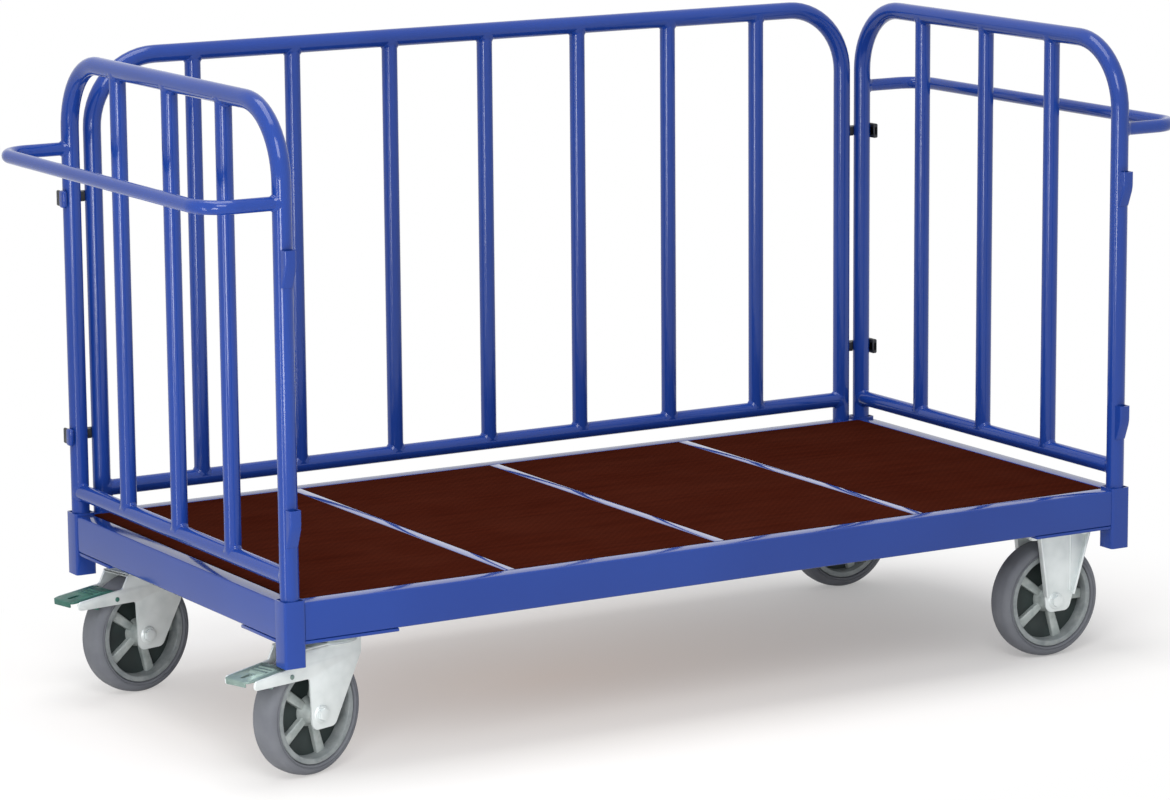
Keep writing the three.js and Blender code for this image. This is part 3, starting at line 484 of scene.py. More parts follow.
def makeBeam(name, node, material, low, high, rounding, along, ledges):
    bm = bmesh.new()
    roundedBox(bm, low, high, *rounding, along)
    for ledgeLow, ledgeHigh in ledges:
        roundedBox(bm, ledgeLow, ledgeHigh, *chassis["ledgeRounding"])
    finishPiece(name, bm, material, "base", [node])


def makeFrame():
    c = chassis
    top, low = c["deckTop"], c["deckTop"] - c["beamHeight"]
    reach, thick = c["ledge"]
    shelfTop, shelfLow = c["ledgeTop"], c["ledgeTop"] - thick
    half = c["beamWidth"] / 2
    endX, endY = (post - socket["side"] / 2 - c["gap"] for post in (postX, postY))
    wide, deep = c["member"]
    bay = (2 * innerX - (c["boards"] - 1) * wide) / c["boards"]
    starts = [-innerX + i * (bay + wide) for i in range(c["boards"])]
    for flank, side in flanks:
        lowY, highY = sorted((side * (innerY + c["overlap"]), side * (innerY - reach)))
        ledges = [((x + c["ledgeStop"], lowY, shelfLow), (x + bay - c["ledgeStop"], highY, shelfTop))
                  for x in starts]
        makeBeam(f"{flank}_beam_tube", f"{flank}_beam", bluePaint, (-endX, side * postY - half, low),
                 (endX, side * postY + half, top), c["beamRounding"], xAxis, ledges)
    for end, side in ends:
        lowX, highX = sorted((side * (innerX + c["overlap"]), side * (innerX - reach)))
        y = innerY - reach - c["overlap"]
        makeBeam(f"{end}_beam_tube", f"{end}_beam", bluePaint, (side * postX - half, -endY, low),
                 (side * postX + half, endY, top), c["beamRounding"], yAxis,
                 [((lowX, -y, shelfLow), (highX, y, shelfTop))])
    for i, start in enumerate(starts[1:], 1):
        x, y, out = start - wide / 2, innerY - c["gap"], wide / 2 + reach
        makeBeam(f"cross_member_tube_{i}", f"cross_member_{i}", memberPaint,
                 (x - wide / 2, -y, top - deep), (x + wide / 2, y, top), c["memberRounding"], yAxis,
                 [((x - out, -y + reach, shelfLow), (x + out, y - reach, shelfTop))])
    for i in range(1, c["boards"] + 1):
        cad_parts[f"deck_board_{i}"].data.materials.clear()
        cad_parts[f"deck_board_{i}"].data.materials.append(deckFilm)


def makeSocket(end, sideX, flank, sideY):
    s = socket
    half = s["side"] / 2
    x, y = sideX * postX, sideY * postY
    bm = bmesh.new()
    roundedBox(bm, (x - half, y - half, s["low"]), (x + half, y + half, s["top"]),
               *s["rounding"], zAxis)
    mouth = max(bm.faces, key=lambda part: part.calc_center_median().z)
    bmesh.ops.inset_region(bm, faces=[mouth], thickness=s["wall"], use_even_offset=True)
    sunk = onlyVerts(bmesh.ops.extrude_face_region(bm, geom=[mouth])["geom"])
    bmesh.ops.translate(bm, vec=(0, 0, s["floor"] - s["top"]), verts=sunk)
    if mouth.is_valid:
        bmesh.ops.delete(bm, geom=[mouth], context="FACES_ONLY")
    casterX, casterY = casterSpots[end]
    farX = abs(casterX) - plate["length"] / 2 - s["padMargin"]
    farY = casterY - plate["depth"] / 2 - s["padMargin"]
    lowX, highX = sorted((sideX * farX, sideX * (postX + chassis["beamWidth"] / 2)))
    lowY, highY = sorted((sideY * farY, sideY * (postY + chassis["beamWidth"] / 2)))
    roundedBox(bm, (lowX, lowY, s["padTop"] - s["padThick"]), (highX, highY, s["padTop"]),
               *s["padRounding"])
    finishPiece(f"{end}_{flank}_corner", bm, bluePaint, "base", [f"{end}_{flank}_socket"])


makeFrame()
for end, sideX in ends:
    for flank, sideY in flanks:
        makeSocket(end, sideX, flank, sideY)
print("frame and deck dressed")


# panels of bent tube

panel = {"post": 15, "bar": 13.5, "bend": 115, "top": 1047, "rail": 328, "foot": 193.3,
         "endBars": 3, "backBars": 7, "backX": 740.6, "backY": 386, "backFoot": 290.3,
         "barSink": 6, "railSink": 4}
spigot = {"low": 240.3, "sink": 2, "shape": (7.5, 24, 1.2)}
grip = {"radius": 11, "start": 8, "reach": 127, "height": 902, "bend": 50}

# a fold is its width and the least and most, in radians, that an edge turns to be given it
pocket = {"width": 20, "depth": 12, "wall": 3, "straight": 28, "taper": 30, "foot": 0.5,
          "tops": (833, 436), "folds": ((8, 0.2, 1), (3.6, 1, math.pi)), "foldSteps": 4}
clip = {"tops": {"upper": 833, "lower": 436}, "height": 26, "bridge": 16, "ease": 1.2, "back": 409,
        "outer": 807, "front": 366, "pass": 15.6, "saddle": 16.1, "blockRounding": (2.6, 3),
        "rounds": (0, 3, 25, 3, 2, 15.4, 15.4, 1, 0, 15.8), "trim": {"left": 4, "right": 0}}
lug = {"near": 797, "far": 805.5, "front": 364.6, "back": 382, "proud": 1.5, "rounding": (4, 4)}


def makeBar(name, node, body, x, y, hostAxis):
    low, high = Vector((x, y, panel["rail"])), Vector((x, y, panel["top"]))
    sink = zAxis * panel["barSink"]
    bm = bmesh.new()
    rod(bm, identity, low + sink, high - sink, panel["bar"], tube["barSides"])
    weldRing(bm, low, zAxis, panel["bar"], panel["bar"], hostAxis)
    weldRing(bm, high, -zAxis, panel["bar"], panel["post"], hostAxis)
    finishPiece(name, bm, bluePaint, body, [node])


def makeRail(name, node, body, start, end):
    start, end = Vector(start), Vector(end)
    along = (end - start).normalized()
    sink = along * panel["railSink"]
    bm = bmesh.new()
    rod(bm, identity, start + sink, end - sink, panel["bar"], tube["barSides"])
    weldRing(bm, start, along, panel["bar"], panel["post"], zAxis)
    weldRing(bm, end, -along, panel["bar"], panel["post"], zAxis)
    finishPiece(name, bm, bluePaint, body, [node])


def addPocket(bm, x, top):
    # folded sheet that tapers to its foot, open at the top and towards the post
    before = set(bm.faces)
    front = -(postY + panel["post"])
    root = -(postY + panel["post"] / 2)
    knee = top - pocket["straight"]
    foot = knee - pocket["taper"]
    verts = bmesh.ops.create_cube(bm, size=1)["verts"]
    size = Vector((pocket["width"], root - front + pocket["depth"], top - foot))
    bmesh.ops.scale(bm, vec=size, verts=verts)
    bmesh.ops.translate(bm, vec=(x, root - size.y / 2, foot + size.z / 2), verts=verts)
    block = newFaces(bm, before)
    parts = block + list({edge for part in block for edge in part.edges}) + verts
    bmesh.ops.bisect_plane(bm, geom=parts, plane_co=(0, 0, knee), plane_no=zAxis)
    toe = [vert for vert in verts if vert.co.z < knee - pocket["taper"] / 2 and vert.co.y < front]
    bmesh.ops.translate(bm, vec=(0, pocket["depth"] - pocket["foot"], 0), verts=toe)
    openSides = [part for part in newFaces(bm, before)
                 if abs(part.normal.z) > nearlyAlong or part.normal.y > nearlyAlong]
    bmesh.ops.delete(bm, geom=openSides, context="FACES")
    for width, least, most in pocket["folds"]:
        block = newFaces(bm, before)
        bmesh.ops.recalc_face_normals(bm, faces=block)
        folds = {edge for part in block for edge in part.edges if least < edge.calc_face_angle(0) < most}
        easeEdges(bm, folds, width, pocket["foldSteps"])
    shell = newFaces(bm, before)
    bmesh.ops.recalc_face_normals(bm, faces=shell)
    bmesh.ops.solidify(bm, geom=shell, thickness=pocket["wall"])


def makeClip(end, side, level):
    # a moulded jaw that reaches round the end post and leaves it free to slide up
    top = clip["tops"][level]
    low = top - clip["height"]
    back, outer = clip["back"] - clip["trim"][end], clip["outer"] - clip["trim"][end]
    backX, backY, saddle = panel["backX"], panel["backY"], clip["saddle"]
    nearX, passX, passY = postX - clip["pass"], postX + clip["pass"], postY + clip["pass"]
    places = ((backX, backY + saddle), (backX, back), (outer, back), (outer, clip["front"]),
              (passX, clip["front"]), (passX, passY), (nearX, passY), (nearX, backY),
              (backX + saddle, backY), (backX + saddle, backY + saddle))
    corners = [(side * x, y, radius) for (x, y), radius in zip(places, clip["rounds"])]
    bridgeLow = low + (clip["height"] - clip["bridge"]) / 2
    bm = bmesh.new()
    sheetPlate(bm, corners, Matrix.Translation((0, 0, bridgeLow)), clip["bridge"], clip["ease"])
    lowX, highX = sorted((side * passX, side * outer))
    roundedBox(bm, (lowX, clip["front"], low), (highX, passY, top), *clip["blockRounding"])
    finishPiece(f"{end}_{level}_clip_jaw", bm, blackPlastic, "back_panel",
                [f"{end}_{level}_clip"])
    if end == "left":
        bm = bmesh.new()
        roundedBox(bm, (side * lug["far"], lug["front"], low - lug["proud"]),
                   (side * lug["near"], lug["back"], top + lug["proud"]), *lug["rounding"])
        finishPiece(f"{end}_{level}_clip_lug", bm, bluePaint, "back_panel")


def makeEndPanel(end, side):
    x, body, rail = side * postX, f"{end}_panel", panel["rail"]
    bm = bmesh.new()
    for top in pocket["tops"]:
        addPocket(bm, x, top)
    finishPiece(f"{end}_wedge_pockets", bm, bluePaint, body, [f"{end}_lower_pocket"])
    bm = bmesh.new()
    bentLoop(bm, Vector((x, 0, 0)), yAxis, zAxis, postY, panel["foot"], panel["top"],
             panel["bend"], panel["post"])
    finishPiece(f"{end}_hoop_tube", bm, bluePaint, body, [f"{end}_hoop"])
    makeRail(f"{end}_rail_tube", f"{end}_rail", body, (x, -postY, rail), (x, postY, rail))
    for i in range(1, panel["endBars"] + 1):
        y = -postY + i * 2 * postY / (panel["endBars"] + 1)
        makeBar(f"{end}_bar_tube_{i}", f"{end}_bar_{i}", body, x, y, yAxis)
    bm = bmesh.new()
    outward = xAxis * side
    bentLoop(bm, Vector((x, 0, grip["height"])), yAxis, outward, postY, grip["start"], grip["reach"],
             grip["bend"], grip["radius"])
    for y in (-postY, postY):
        weldRing(bm, Vector((x, y, grip["height"])), outward, grip["radius"], panel["post"], zAxis)
    finishPiece(f"{end}_handle_tube", bm, bluePaint, body, [f"{end}_handle"])


def makeBackPanel():
    body, rail, foot = "back_panel", panel["rail"], panel["backFoot"]
    farX, y = panel["backX"], panel["backY"]
    bm = bmesh.new()
    bentLoop(bm, Vector((0, y, 0)), xAxis, zAxis, farX, foot, panel["top"],
             panel["bend"], panel["post"])
    for x in (-farX, farX):
        rod(bm, identity, (x, y, spigot["low"]), (x, y, foot + spigot["sink"]), *spigot["shape"])
    finishPiece("back_hoop_tube", bm, bluePaint, body, ["back_hoop"])
    makeRail("back_rail_tube", "back_rail", body, (-farX, y, rail), (farX, y, rail))
    for i in range(1, panel["backBars"] + 1):
        x = -farX + i * 2 * farX / (panel["backBars"] + 1)
        makeBar(f"back_bar_tube_{i}", f"back_bar_{i}", body, x, y, xAxis)
    for end, side in ends:
        for level in clip["tops"]:
            makeClip(end, side, level)


for end, side in ends:
    makeEndPanel(end, side)
makeBackPanel()
print("panels dressed")


# Wheels and casters. Each is drawn about its axle, with local X ahead, Y along the axle and Z up.
# Rows are pairs of radius and height, and an outline is corners of x, z and rounding. A bar or a
# head is where it begins and ends, or how far it reaches both ways, and then its radius and, for a
# bar, its sides and the chamfer on its rims.

axleHeight = 100
tyre = {"side": ((81.4, 18.8), (82.6, 23.8), (84, 24.8), (85, 25), (85.5, 23.3), (87.3, 23.3),
                 (87.8, 24.3)),
        "shoulder": (86.8, 11.3), "shoulderSize": (12, 13), "shoulderSteps": 7,
        "crown": ((99.55, 6), (99.9, 2)), "seat": ((77.3, -18.7), (77.3, 18.7)), "steps": 96}
hub = {"rim": ((71, 19.5), (72.5, 22.1), (74.2, 22.5), (80, 22.5), (81, 21.5), (80.6, 19.2),
               (77, 18.8)), "rimMiddle": (69.5, 0), "rimSteps": 96,
       "boss": ((8.3, 28), (15, 28), (16.5, 26.8), (19, 16), (21, 9), (24, 4)), "bossSteps": 48,
       "web": ((18, -2), (72, -2)), "webSteps": 64}
spoke = {"count": 5, "low": (16, -9, -7.5), "high": (73, 9, 7.5), "rounding": (2.2, 3),
         "root": 21, "tip": 71, "width": (0.82, 0.36), "depth": (1.25, -0.25)}
axle = {"bolt": (40.9, 6, 24, 0.8), "sleeve": (28.7, 8, 24), "washer": (34.8, 36.3, 13, 32, 0.4),
        "head": (36.1, 41.5, 10.4)}
swivel = {"trail": 49, "turns": {"front": 18, "rear": 13}, "steps": 64,
          "race": ((0, 112.8), (34, 112.8), (36.5, 113.8), (38, 115.8), (38, 118.9), (0, 118.9)),
          "kingpin": (96.2, 113.8, 7, 24, 0.8), "nut": (103.2, 96.7, 10.7)}
leg = {"inner": 29, "outer": 33, "ease": 0.7, "ringSteps": 40,
       "ring": ((9, 0), (9, 1.2), (10.5, 1.6), (13, 1.6), (14.6, 0.2), (15.2, -0.6))}
fork = {"outline": ((90, 106.5, 0), (-38, 106.5, 3), (-50, 85, 6), (-141, 77, 6), (-141, 63, 6),
                    (-23, 60, 6), (-19, -24, 13), (30, -24, 13), (90, 82.5, 12)),
        "bridge": ((-38, -33, 103.5), (60, 33, 108.5), 4.4, 5),
        "crown": ((8, 103.5), (44, 103.5), (46, 105.5), (45.4, 106.9), (43.6, 108.5), (39, 108.5),
                  (38, 109.5), (38, 110.9), (36.4, 112.5), (8, 112.5))}
bracket = {"outline": ((70, 119.4, 0), (-38, 119.4, 0), (-18, -19, 13), (28, -19, 13)),
           "flangeFoot": 8, "flangeWidth": 4, "flangeDepth": 11, "flangeRounding": (1.8, 3),
           "ribX": 30, "ribEnds": (14, 115.4), "ribShape": (1.6, 16, 0.6)}


def atAxle(x, y, turn=0, trail=0):
    place = Matrix.Translation((x, y, axleHeight)) @ Matrix.Rotation(math.radians(turn), 4, "Z")
    return place @ Matrix.Translation((-trail, 0, 0))


def alongAxle(matrix):
    # turns a lathe's Z to run along the axle
    return matrix @ Matrix.Rotation(-math.pi / 2, 4, "X")


def makeTyre(name, matrix, body):
    rows = list(tyre["side"])
    (radius, height), (wide, deep) = tyre["shoulder"], tyre["shoulderSize"]
    for step in range(1, tyre["shoulderSteps"] + 1):
        angle = math.pi / 2 * step / tyre["shoulderSteps"]
        rows.append((radius + wide * math.sin(angle), height + deep * math.cos(angle)))
    rows = mirrored([*rows, *tyre["crown"]]) + [*tyre["seat"]]
    bm = bmesh.new()
    lathe(bm, closed(rows), alongAxle(matrix), tyre["steps"])
    finishPiece(f"{name}_tyre_ring", bm, greyRubber, body, [f"{name}_tyre"], "turned")


def addSpoke(bm, matrix):
    # wider at the rim, and deeper at the boss
    verts = roundedBox(bm, spoke["low"], spoke["high"], *spoke["rounding"], xAxis)
    width, widening = spoke["width"]
    depth, deepening = spoke["depth"]
    for vert in verts:
        share = (vert.co.x - spoke["root"]) / (spoke["tip"] - spoke["root"])
        vert.co.z *= width + widening * max(share, 0) ** 2
        vert.co.y *= depth + deepening * share
    bmesh.ops.transform(bm, matrix=matrix, verts=verts)


def makeHub(name, matrix, body):
    upright = alongAxle(matrix)
    bm = bmesh.new()
    rim = closed(mirrored(hub["rim"]) + [hub["rimMiddle"]])
    lathe(bm, rim, upright, hub["rimSteps"])
    finishPiece(f"{name}_hub_rim", bm, rimAlloy, body)
    bm = bmesh.new()
    lathe(bm, closed(mirrored(hub["boss"])), upright, hub["bossSteps"])
    for index in range(spoke["count"]):
        addSpoke(bm, matrix @ Matrix.Rotation(2 * math.pi * index / spoke["count"], 4, "Y"))
    finishPiece(f"{name}_hub_casting", bm, castAlloy, body, [f"{name}_hub"], "turned")
    # a dark disc across the spoke windows, painted shade in place of what the open windows show
    bm = bmesh.new()
    lathe(bm, closed(mirrored(hub["web"])), upright, hub["webSteps"])
    finishPiece(f"{name}_hub_web", bm, paintedWindowShade, body)


def makeAxle(name, matrix, body, nodes):
    bm = bmesh.new()
    for reach, *shape in (axle["bolt"], axle["sleeve"]):
        rod(bm, matrix, (0, -reach, 0), (0, reach, 0), *shape)
    for side in (-1, 1):
        for make, (near, far, *shape) in ((rod, axle["washer"]), (hexHead, axle["head"])):
            make(bm, matrix, (0, side * near, 0), (0, side * far, 0), *shape)
    finishPiece(f"{name}_axle_bolt", bm, brightZinc, body, nodes, "pressed")


def addPlate(bm, matrix):
    # the bolted top plate, with heads and washers below it and shanks up to the pad
    under = matrix @ Matrix.Translation((0, 0, plate["low"] - axleHeight))
    thick = plate["top"] - plate["low"]
    x, y = plate["length"] / 2, plate["depth"] / 2
    corners = [(*spot, plate["round"]) for spot in ((-x, -y), (x, -y), (x, y), (-x, y))]
    sheetPlate(bm, corners, under, thick, plate["ease"])
    for x in (-plate["boltX"], plate["boltX"]):
        for y in (-plate["boltY"], plate["boltY"]):
            for make, (near, far, *shape) in ((hexHead, plate["head"]), (rod, plate["washer"])):
                make(bm, under, (x, y, near), (x, y, far), *shape)
            rod(bm, under, (x, y, thick), (x, y, socket["padTop"] - plate["low"]), *plate["shank"])


def makeSwivelPlate(name, matrix):
    bm = bmesh.new()
    addPlate(bm, matrix)
    lathe(bm, swivel["race"], matrix, swivel["steps"])
    for make, (near, far, *shape) in ((rod, swivel["kingpin"]), (hexHead, swivel["nut"])):
        make(bm, matrix, (0, 0, near), (0, 0, far), *shape)
    finishPiece(f"{name}_top_plate", bm, brightZinc, "base", [f"{name}_plate"], "pressed")


def addUpright(bm, corners, matrix, y, thickness, ease):
    # a sheet of x and z, which lies from y towards the front
    upright = Matrix.Translation((0, y, 0)) @ Matrix.Rotation(math.pi / 2, 4, "X")
    sheetPlate(bm, corners, matrix @ upright, thickness, ease)


def addLeg(bm, corners, matrix, side):
    # a side sheet with a raised ring round the axle hole
    y = leg["outer"] if side > 0 else -leg["inner"]
    addUpright(bm, corners, matrix, y, leg["outer"] - leg["inner"], leg["ease"])
    turned = matrix @ Matrix.Translation((0, side * leg["outer"], 0))
    turned = turned @ Matrix.Rotation(-side * math.pi / 2, 4, "X")
    lathe(bm, leg["ring"], turned, leg["ringSteps"])


def makeFork(name, matrix, body):
    bm = bmesh.new()
    for side in (-1, 1):
        addLeg(bm, fork["outline"], matrix, side)
    turnedBox(bm, matrix, *fork["bridge"], xAxis)
    over = matrix @ Matrix.Translation((swivel["trail"], 0, 0))
    lathe(bm, closed(fork["crown"]), over, swivel["steps"])
    finishPiece(f"{name}_fork_pressing", bm, brightZinc, body, [f"{name}_fork"], "pressed")


def addFlange(bm, matrix, side, head, toe):
    # a folded edge that runs up the slant of a leg, from its toe to its head
    (headX, headZ, _), (toeX, toeZ, _) = head, toe
    share = (bracket["flangeFoot"] - toeZ) / (headZ - toeZ)
    foot = Vector((toeX + (headX - toeX) * share, 0, bracket["flangeFoot"]))
    slant = Vector((headX, 0, headZ)) - foot
    half = bracket["flangeWidth"] / 2
    place = Matrix.Translation((foot.x - math.copysign(half, headX), side * leg["inner"], foot.z))
    tilt = Matrix.Rotation(math.atan2(slant.x, slant.z), 4, "Y")
    flip = Matrix.Diagonal((1, side, 1, 1))
    turnedBox(bm, matrix @ place @ tilt @ flip, (-half, 0, 0),
              (half, bracket["flangeDepth"], slant.length), *bracket["flangeRounding"])


def makeBracket(name, matrix):
    frontHead, rearHead, rearToe, frontToe = bracket["outline"]
    low, high = bracket["ribEnds"]
    bm = bmesh.new()
    for side in (-1, 1):
        addLeg(bm, bracket["outline"], matrix, side)
        addFlange(bm, matrix, side, frontHead, frontToe)
        addFlange(bm, matrix, side, rearHead, rearToe)
        x, y = bracket["ribX"], side * leg["outer"]
        rod(bm, matrix, (x, y, low), (x, y, high), *bracket["ribShape"])
    addPlate(bm, matrix)
    finishPiece(f"{name}_bracket_pressing", bm, brightZinc, "base", [f"{name}_bracket"],
                "pressed")


# start and end are how far behind the axle, and how high, the tread begins and stops
pedal = {"start": (66, 85), "end": (150, 77), "half": 28.4, "tipHalf": 25, "sideEnd": 136,
         "round": 6, "sheet": 3, "ease": 0.8, "lip": (1.5, 21, 9, 0.6), "lipRounding": (1.4, 3),
         "ribs": (16, 26, 36), "rib": (1.6, 17, 0.6, 0.9), "ribRounding": (0.7, 2)}
cheek = {"pivot": (-62, 70), "eye": 8, "depth": 9, "round": 3, "drop": 1, "rootDrop": 3,
         "inner": 26, "sheet": 2.4, "ease": 0.5, "pinEnd": 34.4, "pinShape": (4, 24, 0.5)}
shoe = {"first": 138, "last": 151, "steps": 8, "lift": 0.5, "press": 12, "half": 20, "sink": 1.5,
        "ease": 0.4}
slot = {"out": 127, "length": 22, "width": 7, "cut": 8, "ease": 0.1, "segments": 6}
# a dark plate behind the pedal's slot, painted shade: its margin round the slot, its reach below and
# above the sheet, its rounding
slotShade = {"margin": 2, "below": 1.2, "above": 0.3, "rounding": (0.5, 2)}

pedalSlope = (pedal["start"][1] - pedal["end"][1]) / (pedal["end"][0] - pedal["start"][0])


def treadHeight(out):
    return pedal["start"][1] - pedalSlope * (out - pedal["start"][0])


def shoeOutline():
    # the arc that the shoe's face takes when pressed, turned back about the pivot to rest
    pivotX, pivotZ = cheek["pivot"]
    pivot = Vector((pivotX, 0, pivotZ))
    back = Matrix.Rotation(math.radians(shoe["press"]), 3, "Y")
    corners = []
    for step in range(shoe["steps"] + 1):
        share = step / shoe["steps"]
        angle = math.radians(shoe["first"] + (shoe["last"] - shoe["first"]) * share)
        spot = Vector((math.cos(angle), 0, math.sin(angle))) * (axleHeight + shoe["lift"])
        spot = back @ (spot - pivot) + pivot
        corners.append((spot.x, spot.z, 0))
    for x in (corners[-1][0], corners[0][0]):
        corners.append((x, treadHeight(-x) - shoe["sink"], 0))
    return corners


def cheekOutline():
    startOut, startRise = pedal["start"]
    farX, farZ = -pedal["sideEnd"], treadHeight(pedal["sideEnd"])
    pivotX, pivotZ = cheek["pivot"]
    backX, frontX, eyeZ = pivotX - cheek["eye"], pivotX + cheek["eye"], pivotZ - cheek["eye"]
    return [(-startOut, startRise - cheek["drop"], 0), (farX, farZ - cheek["drop"], 0),
            (farX, farZ - cheek["depth"], cheek["round"]), (backX, eyeZ, cheek["round"]),
            (frontX, eyeZ, cheek["round"]), (frontX, startRise - cheek["rootDrop"], cheek["round"])]


def addTread(bm, base):
    # drawn flat from its near edge, which base tilts
    startOut = pedal["start"][0]
    length, sideLength = pedal["end"][0] - startOut, pedal["sideEnd"] - startOut
    half, tipHalf, radius = pedal["half"], pedal["tipHalf"], pedal["round"]
    corners = [(0, -half, 0), (0, half, 0), (-sideLength, half, radius), (-length, tipHalf, radius),
               (-length, -tipHalf, radius), (-sideLength, -half, radius)]
    under = base @ Matrix.Translation((0, 0, -pedal["sheet"]))
    sheetPlate(bm, corners, under, pedal["sheet"], pedal["ease"])
    thick, wide, deep, sink = pedal["lip"]
    turnedBox(bm, base, (-length - thick, -wide, -deep), (-length + thick, wide, -sink),
              *pedal["lipRounding"])
    thick, wide, sink, proud = pedal["rib"]
    for out in pedal["ribs"]:
        turnedBox(bm, base, (-out - thick, -wide, -sink), (-out + thick, wide, proud),
                  *pedal["ribRounding"])


def makePedal(name, matrix, body, look):
    startOut, startRise = pedal["start"]
    tilt = Matrix.Rotation(-math.atan(pedalSlope), 4, "Y")
    base = matrix @ Matrix.Translation((-startOut, 0, startRise)) @ tilt
    x, z = cheek["pivot"]
    bm = bmesh.new()
    addTread(bm, base)
    for side in (-1, 1):
        y = cheek["inner"] + cheek["sheet"] if side > 0 else -cheek["inner"]
        addUpright(bm, cheekOutline(), matrix, y, cheek["sheet"], cheek["ease"])
        rod(bm, matrix, (x, side * cheek["inner"], z), (x, side * cheek["pinEnd"], z), *cheek["pinShape"])
    addUpright(bm, shoeOutline(), matrix, shoe["half"], 2 * shoe["half"], shoe["ease"])
    piece = finishPiece(f"{name}_pedal_tread", bm, look, body, [f"{name}_pedal"], "pressed")
    cutSlot(piece, base)
    # a dark plate behind the slot, painted shade seen through it
    x, deep = startOut - slot["out"], pedal["sheet"]
    halfX, halfY = (slot[key] / 2 + slotShade["margin"] for key in ("length", "width"))
    bm = bmesh.new()
    turnedBox(bm, base, (x - halfX, -halfY, -deep - slotShade["below"]),
              (x + halfX, halfY, -deep + slotShade["above"]), *slotShade["rounding"])
    finishPiece(f"{name}_pedal_slot_shade", bm, blackPlastic, body)


def cutSlot(piece, base):
    # the long hole near the pedal's tip
    x, halfX, halfY = pedal["start"][0] - slot["out"], slot["length"] / 2, slot["width"] / 2
    bm = bmesh.new()
    turnedBox(bm, base, (x - halfX, -halfY, -slot["cut"]), (x + halfX, halfY, slot["cut"]),
              halfY - slot["ease"], slot["segments"], zAxis)
    cutter = inMetres("slotCutter", bm)
    cut = piece.modifiers.new("slot", "BOOLEAN")
    cut.operation = "DIFFERENCE"
    cut.solver = "EXACT"
    cut.use_self = True
    cut.object = cutter
    bpy.context.view_layer.update()
    graph = bpy.context.evaluated_depsgraph_get()
    solid = bpy.data.meshes.new_from_object(piece.evaluated_get(graph))
    piece.modifiers.clear()
    piece.data = solid
    bpy.data.objects.remove(cutter)


def makeWheel(name, matrix, wheelBody, axleBody, axleNodes=()):
    # a fixed caster's bolt belongs to its bracket node, so it replaces none of its own
    makeTyre(name, matrix, wheelBody)
    makeHub(name, matrix, wheelBody)
    makeAxle(name, matrix, axleBody, axleNodes)


for flank, side in flanks:
    name = f"left_{flank}_caster"
    x, y = casterSpots["left"]
    makeSwivelPlate(name, atAxle(x, side * y))
    matrix = atAxle(x, side * y, swivel["turns"][flank], swivel["trail"])
    makeFork(name, matrix, f"left_{flank}_swivel")
    makePedal(name, matrix, f"left_{flank}_pedal", greenZinc[flank])
    makeWheel(name, matrix, f"left_{flank}_wheel", f"left_{flank}_swivel", [f"{name}_axle"])
    name = f"right_{flank}_caster"
    x, y = casterSpots["right"]
    matrix = atAxle(x, side * y)
    makeBracket(name, matrix)
    makeWheel(name, matrix, f"right_{flank}_wheel", "base")
print("casters dressed")


# floor, light and camera

# The floor goes from its own colour to white between the two distances of fade. White glow shows near
# the trolley too, as painted light that lifts the trolley's shadow, more on the left than on the right;
# glow is from where to where across and how much of it there is at either place. Near the trolley this
# glow is tinted warm, a painted warm bounce in the shadow, and it turns white further out.
studio = {"floorSize": 60, "floorColour": (0.87, 0.85, 0.83, 1), "fade": (0.78, 1.35),
          "stretch": (0.87, 1.33, 1), "shift": (0.09, 0, 0), "glow": (-0.5, 0.8, 0.46, 0.28),
          "paintedBounceTint": (1, 0.87, 0.79, 1), "paintedBounceReach": 0.8, "white": (1, 1, 1, 1),
          "whiteStrength": 1, "worldLight": 0.62}


def backgroundRays(tree):
    # 1 where the camera sees the background, straight, in a reflection or through glass
    rays = addNode(tree, "ShaderNodeLightPath").outputs
    seen = rays["Is Camera Ray"]
    for other in ("Is Glossy Ray", "Is Transmission Ray"):
        seen = addMath(tree, "MAXIMUM", seen, rays[other])
    return seen


def makeFloor():
    bm = bmesh.new()
    bmesh.ops.create_grid(bm, x_segments=2, y_segments=2, size=studio["floorSize"] / 2)
    floor = newObject("studioFloor", bm)
    material = bpy.data.materials.new("studioFloor")
    material.use_nodes = True
    tree = material.node_tree
    tree.nodes.clear()
    place = addNode(tree, "ShaderNodeTexCoord").outputs["Object"]
    drawn = addNode(tree, "ShaderNodeMapping", {"Vector": place, "Scale": studio["stretch"],
                                                "Location": studio["shift"]}).outputs["Vector"]
    away = addNode(tree, "ShaderNodeVectorMath", {0: drawn}, operation="LENGTH").outputs["Value"]
    across = addNode(tree, "ShaderNodeSeparateXYZ", {"Vector": place}).outputs["X"]
    # painted light: the share of white glow under and round the trolley, more on the left, lifts its
    # shadow
    near = addRange(tree, across, *studio["glow"])
    fade = addRange(tree, away, *studio["fade"], near, 1, interpolation_type="SMOOTHSTEP")
    matt = addNode(tree, "ShaderNodeBsdfDiffuse", {"Color": studio["floorColour"]})
    # painted warm bounce light: the glow is warm near the trolley and white further out
    bounceFade = addRange(tree, away, 0, studio["paintedBounceReach"], 0, 1)
    tint = mixColours(tree, bounceFade, studio["paintedBounceTint"], studio["white"])
    glow = addNode(tree, "ShaderNodeEmission", {"Color": tint, "Strength": studio["whiteStrength"]})
    amount = addMath(tree, "MULTIPLY", fade, backgroundRays(tree))
    mixed = addNode(tree, "ShaderNodeMixShader", {0: amount, 1: matt.outputs[0], 2: glow.outputs[0]})
    output = addNode(tree, "ShaderNodeOutputMaterial")
    tree.links.new(mixed.outputs[0], output.inputs["Surface"])
    floor.data.materials.append(material)


def makeWorld():
    world = bpy.data.worlds.new("studioWorld")
    bpy.context.scene.world = world
    world.use_nodes = True
    tree = world.node_tree
    tree.nodes.clear()
    level = addRange(tree, backgroundRays(tree), 0, 1, studio["worldLight"], studio["whiteStrength"])
    light = addNode(tree, "ShaderNodeBackground", {"Color": studio["white"], "Strength": level})
    output = addNode(tree, "ShaderNodeOutputWorld")
    tree.links.new(light.outputs[0], output.inputs["Surface"])


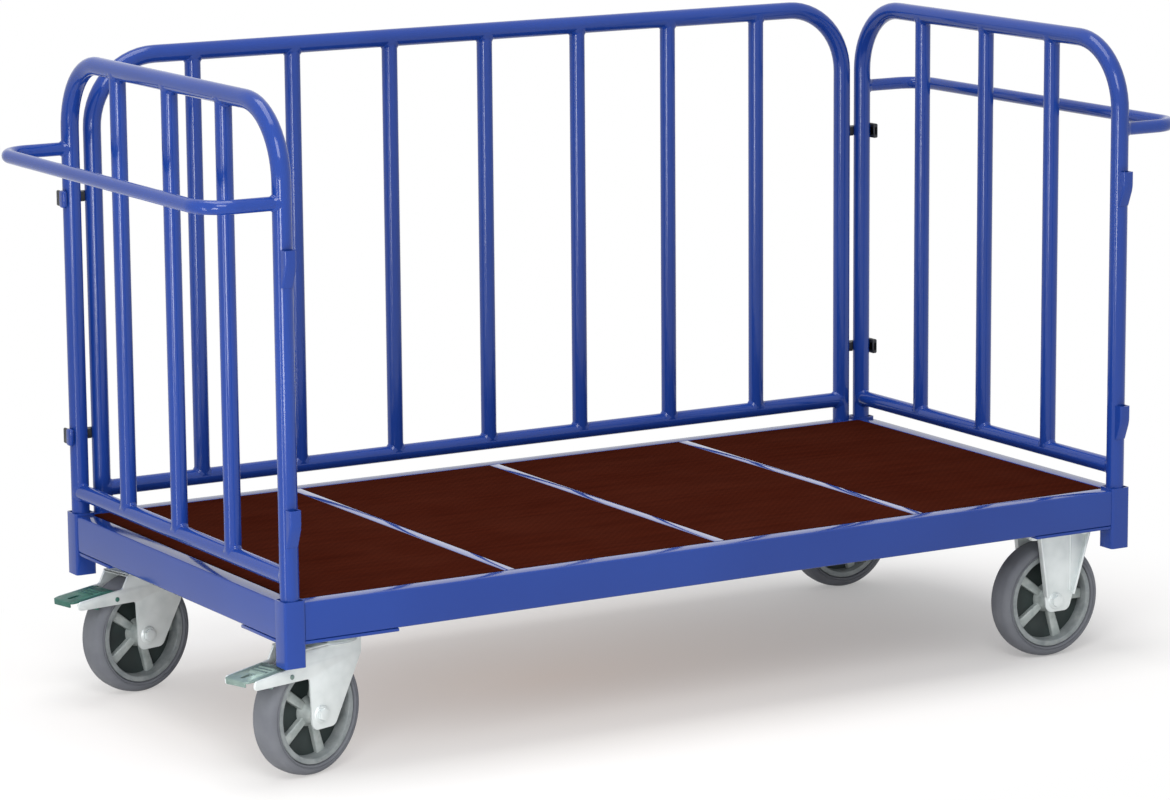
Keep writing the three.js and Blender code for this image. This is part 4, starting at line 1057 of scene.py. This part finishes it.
lamps = {
    "keyLamp": {"place": (-2.4, -4.0, 4.0), "aim": (0, 0, 0.4), "size": (2.2, 2.2), "power": 118},
    "topLamp": {"place": (-0.7, 0.1, 5.0), "aim": (0, 0, 0), "size": (3.4, 2.6), "power": 125},
    "leftStrip": {"place": (-1.95, -0.65, 0.46), "aim": (-0.8, 0.03, 0.46), "size": (0.2, 0.86),
                  "power": 3.2},
    "lowLamp": {"place": (-2.6, -2.3, 0.5), "aim": (-0.7, 0.2, 0.4), "size": (0.7, 0.8), "power": 24},
}


def makeLamps():
    for name, lamp in lamps.items():
        data = bpy.data.lights.new(name, "AREA")
        data.shape = "RECTANGLE"
        data.size, data.size_y = lamp["size"]
        data.energy = lamp["power"]
        light = bpy.data.objects.new(name, data)
        place = Vector(lamp["place"])
        light.location = place
        light.rotation_euler = (Vector(lamp["aim"]) - place).to_track_quat("-Z", "Y").to_euler()
        bpy.context.scene.collection.objects.link(light)


view = {"place": (-3.758, -6.2969, 1.8365), "yaw": 30.61, "pitch": -10.61, "roll": -0.45,
        "lens": 137.4, "sensor": 36, "farthest": 100}


def makeCamera():
    yaw, pitch, roll = (math.radians(view[key]) for key in ("yaw", "pitch", "roll"))
    ahead = Vector((math.sin(yaw) * math.cos(pitch), math.cos(yaw) * math.cos(pitch), math.sin(pitch)))
    level = Vector((math.cos(yaw), -math.sin(yaw), 0))
    upright = level.cross(ahead)
    right = level * math.cos(roll) + upright * math.sin(roll)
    up = upright * math.cos(roll) - level * math.sin(roll)
    data = bpy.data.cameras.new("photoCamera")
    data.lens = view["lens"]
    data.sensor_width = view["sensor"]
    data.clip_end = view["farthest"]
    camera = bpy.data.objects.new("photoCamera", data)
    turn = Matrix((right, up, -ahead)).transposed().to_4x4()
    camera.matrix_world = Matrix.Translation(view["place"]) @ turn
    bpy.context.scene.collection.objects.link(camera)
    bpy.context.scene.camera = camera


makeFloor()
makeWorld()
makeLamps()
makeCamera()
bpy.context.scene.view_settings.view_transform = "Standard"
print("studio set")
